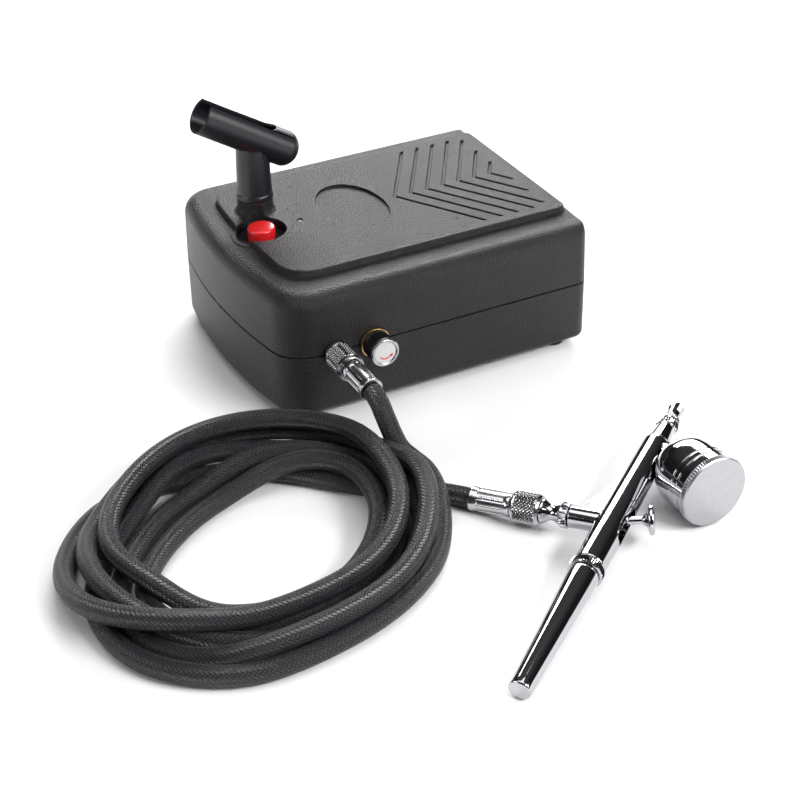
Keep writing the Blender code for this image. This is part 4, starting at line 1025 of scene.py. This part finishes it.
def knob():
    collar = [(2.6, SIDE_X + GAP), (6, SIDE_X + GAP), (6, SIDE_X + 1.9, 0.5), (5.3, SIDE_X + 1.9)]
    collar += [(5.1, SIDE_X + 1.2), (2.6, SIDE_X + 1.2)]
    lathed("knob_ring", ["knob_collar"], "brass", KNOB, collar, 72, closed=True)
    base, top = SIDE_X + 2.2, 57.0
    skirt = [(0, top), (5.1, top), (5.6, top - 0.4), (5.6, base + 0.4), (5.3, base), (2.4, base)]
    skirt = divided(rounded([*skirt, (2.4, 55.7), (0, 55.7)], 0.12, 2), base + 0.5, top - 0.5, 1.0)
    skirt = turned(skirt, 288, straight_knurl(base + 0.5, top - 0.5, 48, 0.38)).placed(KNOB)
    piece("knob_skirt", skirt, ["pressure_knob"], "satin", "knob", edge=24)
    rim = [(0, 57.3), (5.3, 57.3), (5.75, 57.65), (5.75, 58.15), (5.4, 58.55), (4.75, 58.55)]
    rim += [(4.5, 58.2), (4.45, 57.8), (0, 57.8)]
    lathed(
        "knob_rim", ["knob_cap"], "chrome", KNOB, rim, 288, straight_knurl(57.6, 58.2, 48, 0.16),
        radius=0.15, body="knob", edge=30,
    )
    face = [(0, 57.85), (4.35, 57.85), (4.35, 58.1, 0.2), (0, 58.2)]
    lathed("knob_face", [], "pale_face", KNOB, face, body="knob")
    turns = np.linspace(radians(215), radians(335), 21)
    inner, outer = ([(reach * cos(t), reach * sin(t)) for t in turns] for reach in (2.35, 2.85))
    arrow = [(2.05, -1.75), (2.6, -2.35), (3.15, -0.7)]
    for name, outline in (("knob_arc", outer + inner[::-1]), ("knob_arrow", arrow)):
        mark = prism(outline, 58.12, 58.24).placed(axes((0, KNOB_Y, FITTING_Z), (1, 0, 0), (0, 1, 0)))
        piece(name, mark, [], "red", "knob")


# ---- airbrush


def fairing():
    """The thin web that sweeps from the valve up to the barrel, on the nozzle side, in (ahead, aside, up)."""
    start, end = (VALVE_AT + 3.4, -13.8), (FAIRING_END, -4.6)
    outline = [(VALVE_AT + 1, -4), (VALVE_AT + 1, -13.8), start]
    for share in np.linspace(0, 1, 25)[1:-1]:
        sag = 1.4 * sin(pi * share)
        x, z = (a + (b - a) * share for a, b in zip(start, end))
        outline.append((x - 0.35 * sag, z + 0.9 * sag))
    outline += [end, (FAIRING_END, -4.0)]
    return prism([(x, -z) for x, z in outline][::-1], -1.3, 1.3).placed(Matrix.Rotation(-pi / 2, 4, "X"))


def knurled(name, node, place, profile, steps, knurl, radius=0.12, **rest):
    """A chrome ring with a straight knurl, given by its start, end, teeth and depth."""
    rest = {"edge": 24, **rest}
    return lathed(name, [node], "chrome", place, profile, steps, straight_knurl(*knurl), True, radius, **rest)


def barrel_pieces():
    """The handle, the grip ring, the body and the nozzle end, all on the barrel's axis."""
    handle = [(0, 0), (3, 0), (3.8, 0.5), (3.85, 4), (5.3, 52), (5.35, 56.3), (5.15, 57.2)]
    handle += [(3.2, 57.2), (3.2, 12), (0, 10)]
    ring = [(3.4, 57.5), (5.6, 57.5), (6.15, 57.9), (6.15, 60.3), (5.6, 60.7), (3.4, 60.7)]
    shell = [(0, 61), (5.2, 61), (5.65, 61.5), (5.65, 78), (5.15, 131.2), (4.8, 132), (0, 132)]
    channel = [(0, 59), (3.7, 59), (3.7, 96), (1.1, 98), (1.1, 134), (0, 134)]
    stub = [(0, -15.2), (3.8, -15.2), (4, -14.9), (4, -1), (0, -1)]
    slot = [(76, -2.1), (93, -2.1), (93, 2.1), (76, 2.1)]
    along = place_of(AHEAD, ASIDE, UP, BRUSH)
    carving = join(turned(rounded(stub, 0.2), 96).placed(VALVE), fairing().placed(along))
    carving += cut_away(
        turned(channel, 48).placed(BARREL),
        bar(2.8, -17.5, -1.5).placed(VALVE),
        prism(slot, 0.5, 9.0).placed(along),
    )
    head = [(0.9, 132.3), (4.5, 132.3), (4.55, 132.7), (3.6, 141.4), (3.6, 141.7), (4.1, 141.9)]
    head += [(4.1, 144.6), (3.4, 145), (3.3, 146.2), (0.9, 146.2)]
    crown = [(0.9, 146.5), (3.4, 146.5), (3.4, 148), (2.7, 148.5), (2.6, 149.2), (3.05, 154.9)]
    crown += [(2.9, 155.4), (2.4, 155.4), (2, 148.9), (0.9, 148.2)]
    gap = [(151.4, -5), (158, -5), (158, 5), (151.4, 5)]
    spins = [Matrix.Rotation(radians(quarter), 4, "X") for quarter in (45, 135)]
    slots = cut_away(*[prism(gap, -0.85, 0.85).placed(along @ spin) for spin in spins])
    return [
        lathed("rear_handle", ["handle"], "chrome", BARREL, handle, 128, radius=0.6, body="rear_handle"),
        knurled("grip_ring", "handle_ring", BARREL, ring, 336, (57.85, 60.35, 42, 0.42)),
        lathed(
            "brush_barrel", ["brush_body"], "chrome", BARREL, shell, 128, radius=0.4, bevel=0.15,
            carving=carving,
        ),
        knurled("nozzle_head", "brush_head", BARREL, head, 240, (141.85, 144.65, 26, 0.36)),
        knurled(
            "crown_cap", "needle_cap", BARREL, crown, 192, (146.6, 147.9, 22, 0.3), body="crown", edge=28,
            carving=slots, bevel=0.08,
        ),
    ]


def trigger_and_cup():
    lever = axes(on_brush(VALVE_AT, 0, -3.5), UP * cos(radians(20)) + AHEAD * sin(radians(20)), AHEAD)
    stem = [(0, 7.8), (1.4, 7.8), (1.4, 13.6, 1.2), (2.6, 15), (5.2, 15.5, 0.4), (5.5, 16.4, 0.5)]
    stem += [(5.2, 17.3, 0.5), (4, 17.55), (0, 16.9)]
    blade = [(-1.2, -1.6), (1.2, -1.6), (1.2, 1.6), (-1.2, 1.6)]
    window = [(-2, 0.95), (-7.2, 0.95), (-7.2, -0.95), (-2, -0.95)]
    across = lever @ Matrix.Rotation(pi / 2, 4, "Y") @ Matrix.Rotation(pi, 4, "X")
    shaped = join(prism(blade, -0.8, 8.4).placed(lever)) + cut_away(prism(window, -3.0, 3.0).placed(across))
    plunger = [(0, -13.4), (2.2, -13.4), (2.2, -4.8), (0, -4.8)]

    bowl = [(0, 5), (4.6, 5), (4.9, 7), (5.6, 8.6, 1), (8.4, 10.6, 1.5), (11, 13.6, 1.8)]
    bowl += [(12.6, 17.2, 2), (12.9, 20.5, 2)]
    for groove in (25.6, 28.2):
        bowl += [(12.9, groove - 0.35), (12.6, groove), (12.9, groove + 0.35)]
    bowl += [(CUP_RADIUS, CUP_MOUTH), (12, CUP_MOUTH), (12, 20.2), (10.2, 16.2, 1.5), (6.5, 12.9)]
    bowl += [(3, 11.6), (0, 11.2)]
    lid = [(0, LID_TOP), (12.7, LID_TOP), (13.4, LID_TOP - 0.6), (13.4, 31.9), (11.6, 31.9), (11.6, 29)]
    lid += [(10.5, 29), (10.5, 33.3), (0, 33.3)]
    return [
        lathed(
            "trigger_lever", ["trigger"], "chrome", lever, stem, body="trigger", bevel=0.15, carving=shaped
        ),
        lathed("valve_plunger", ["air_plunger"], "brass", VALVE, plunger, 48, radius=0.2, body="air_valve"),
        lathed(
            "colour_cup", ["paint_cup"], "chrome", CUP, bowl, 160, radius=0.12, edge=28, bevel=0.1,
            carving=cut_away(bar(5.95, 100.0, 150.0, 96).placed(BARREL)),
        ),
        lathed(
            "cup_cover", ["cup_lid"], "satin_chrome", CUP, lid, 480, straight_knurl(32.0, 34.0, 80, 0.34),
            radius=0.2, body="lid", edge=24,
        ),
    ]


def valve_pieces():
    """The neck under the air valve, and the union nut and ferrule of the hose's other end."""
    neck = [(1.3, -15.5), (4, -15.5), (4.55, -15.8), (4.55, -18.2), (3.9, -18.5), (3, -20.2, 1.2)]
    neck += [(2.6, -21.6, 1), (2.95, -22.9, 1), (4.3, -24.9, 0.6), (4.4, -25.5), (3.5, -25.5)]
    neck += [(3.5, -31), (1.3, -31)]
    low, high = -35.4, -26.8
    nut = [(3.8, -25.8), (5, -25.8), (5.7, high), (5.7, low), (5, -36.4), (2.7, -36.4)]
    nut += [(2.7, -31.6), (3.8, -31.6)]
    nut = union_nut(VALVE, nut, low, high, 0.15, 0.15, 264, 5.65)
    ferrule = hose_ferrule(-36.7, BRUSH_FERRULE_END, -32.0).placed(VALVE)
    return [
        knurled("valve_neck", "hose_neck", VALVE, neck, 216, (-18.25, -15.75, 28, 0.34), 0.15),
        piece("brush_union_nut", nut, ["brush_nut"], "crimped", "brush_union", edge=24),
        piece("brush_crimp", ferrule, ["brush_ferrule"], "crimped", edge=24),
    ]


# ---- what stays of the CAD model


def finish_inner_parts():
    metals = {
        ("ground_steel", (0.56, 0.56, 0.57), 0.22, 0.38, 30.0, 0.02, 0.8, (1.0, 1.0, 5.0)):
            ["motor_can", "motor_shaft", "gear_axle", "crank_pin", "wrist_pin", "needle"],
        ("zinc_plate", (0.6, 0.61, 0.6), 0.28, 0.44, 12.0, 0.03, 0.7):
            [*(f"case_screw_{i}" for i in range(1, 5)), "pump_frame"],
        ("cast_aluminium", (0.68, 0.69, 0.7), 0.34, 0.52, 26.0, 0.06, 0.85):
            ["connecting_rod", "piston", "cylinder", "cylinder_head", "valve_block"],
        ("brass", (0.72, 0.5, 0.2), 0.2, 0.34, 30.0, 0.02, 0.8, (1.0, 1.0, 5.0)):
            ["motor_pinion", "regulator_stem", "needle_chuck"],
        ("ferrite", (0.06, 0.06, 0.065), 0.45, 0.65, 40.0, 0.03): ["motor_magnets"],
    }
    nylon = moulded_pale(
        "natural_nylon", (0.78, 0.77, 0.72), 0.36, 0.5, Subsurface_Weight=0.1, Subsurface_Scale=0.002
    )
    silicone = moulded_pale(
        "milky_silicone", (0.75, 0.76, 0.75), 0.28, 0.42, Subsurface_Weight=0.15, Subsurface_Scale=0.002
    )
    finished = [(plain_metal(*settings), names) for settings, names in metals.items()]
    finished += [
        (FINISHES["satin"][1], ["switch_body", "dc_jack"]),
        (FINISHES["rubber"][1], ["piston_seal"]),
        (windings(), ["motor_armature"]),
        (nylon, ["motor_end_cap", "crank_gear"]),
        (board(), ["control_board"]),
        (silicone, ["air_tube"]),
    ]
    for material, names in finished:
        for name in names:
            mesh = frame["nodes"][name].data
            mesh.materials.clear()
            mesh.materials.append(material)


# ---- the whole


def main():
    add_camera()
    add_studio()
    route = hose_route()
    hose = piece(
        "braided_hose", swept(route, HOSE_DIAMETER / 2), ["hose_lead", "hose_coil", "hose_tail"], "braid",
        edge=60,
    )
    on_hose = outlet()
    knob()
    on_hose += [*barrel_pieces(), *trigger_and_cup(), *valve_pieces()]
    casing_top()
    casing_base()
    feet_and_controls()
    airbrush_rest()
    finish_inner_parts()


main()
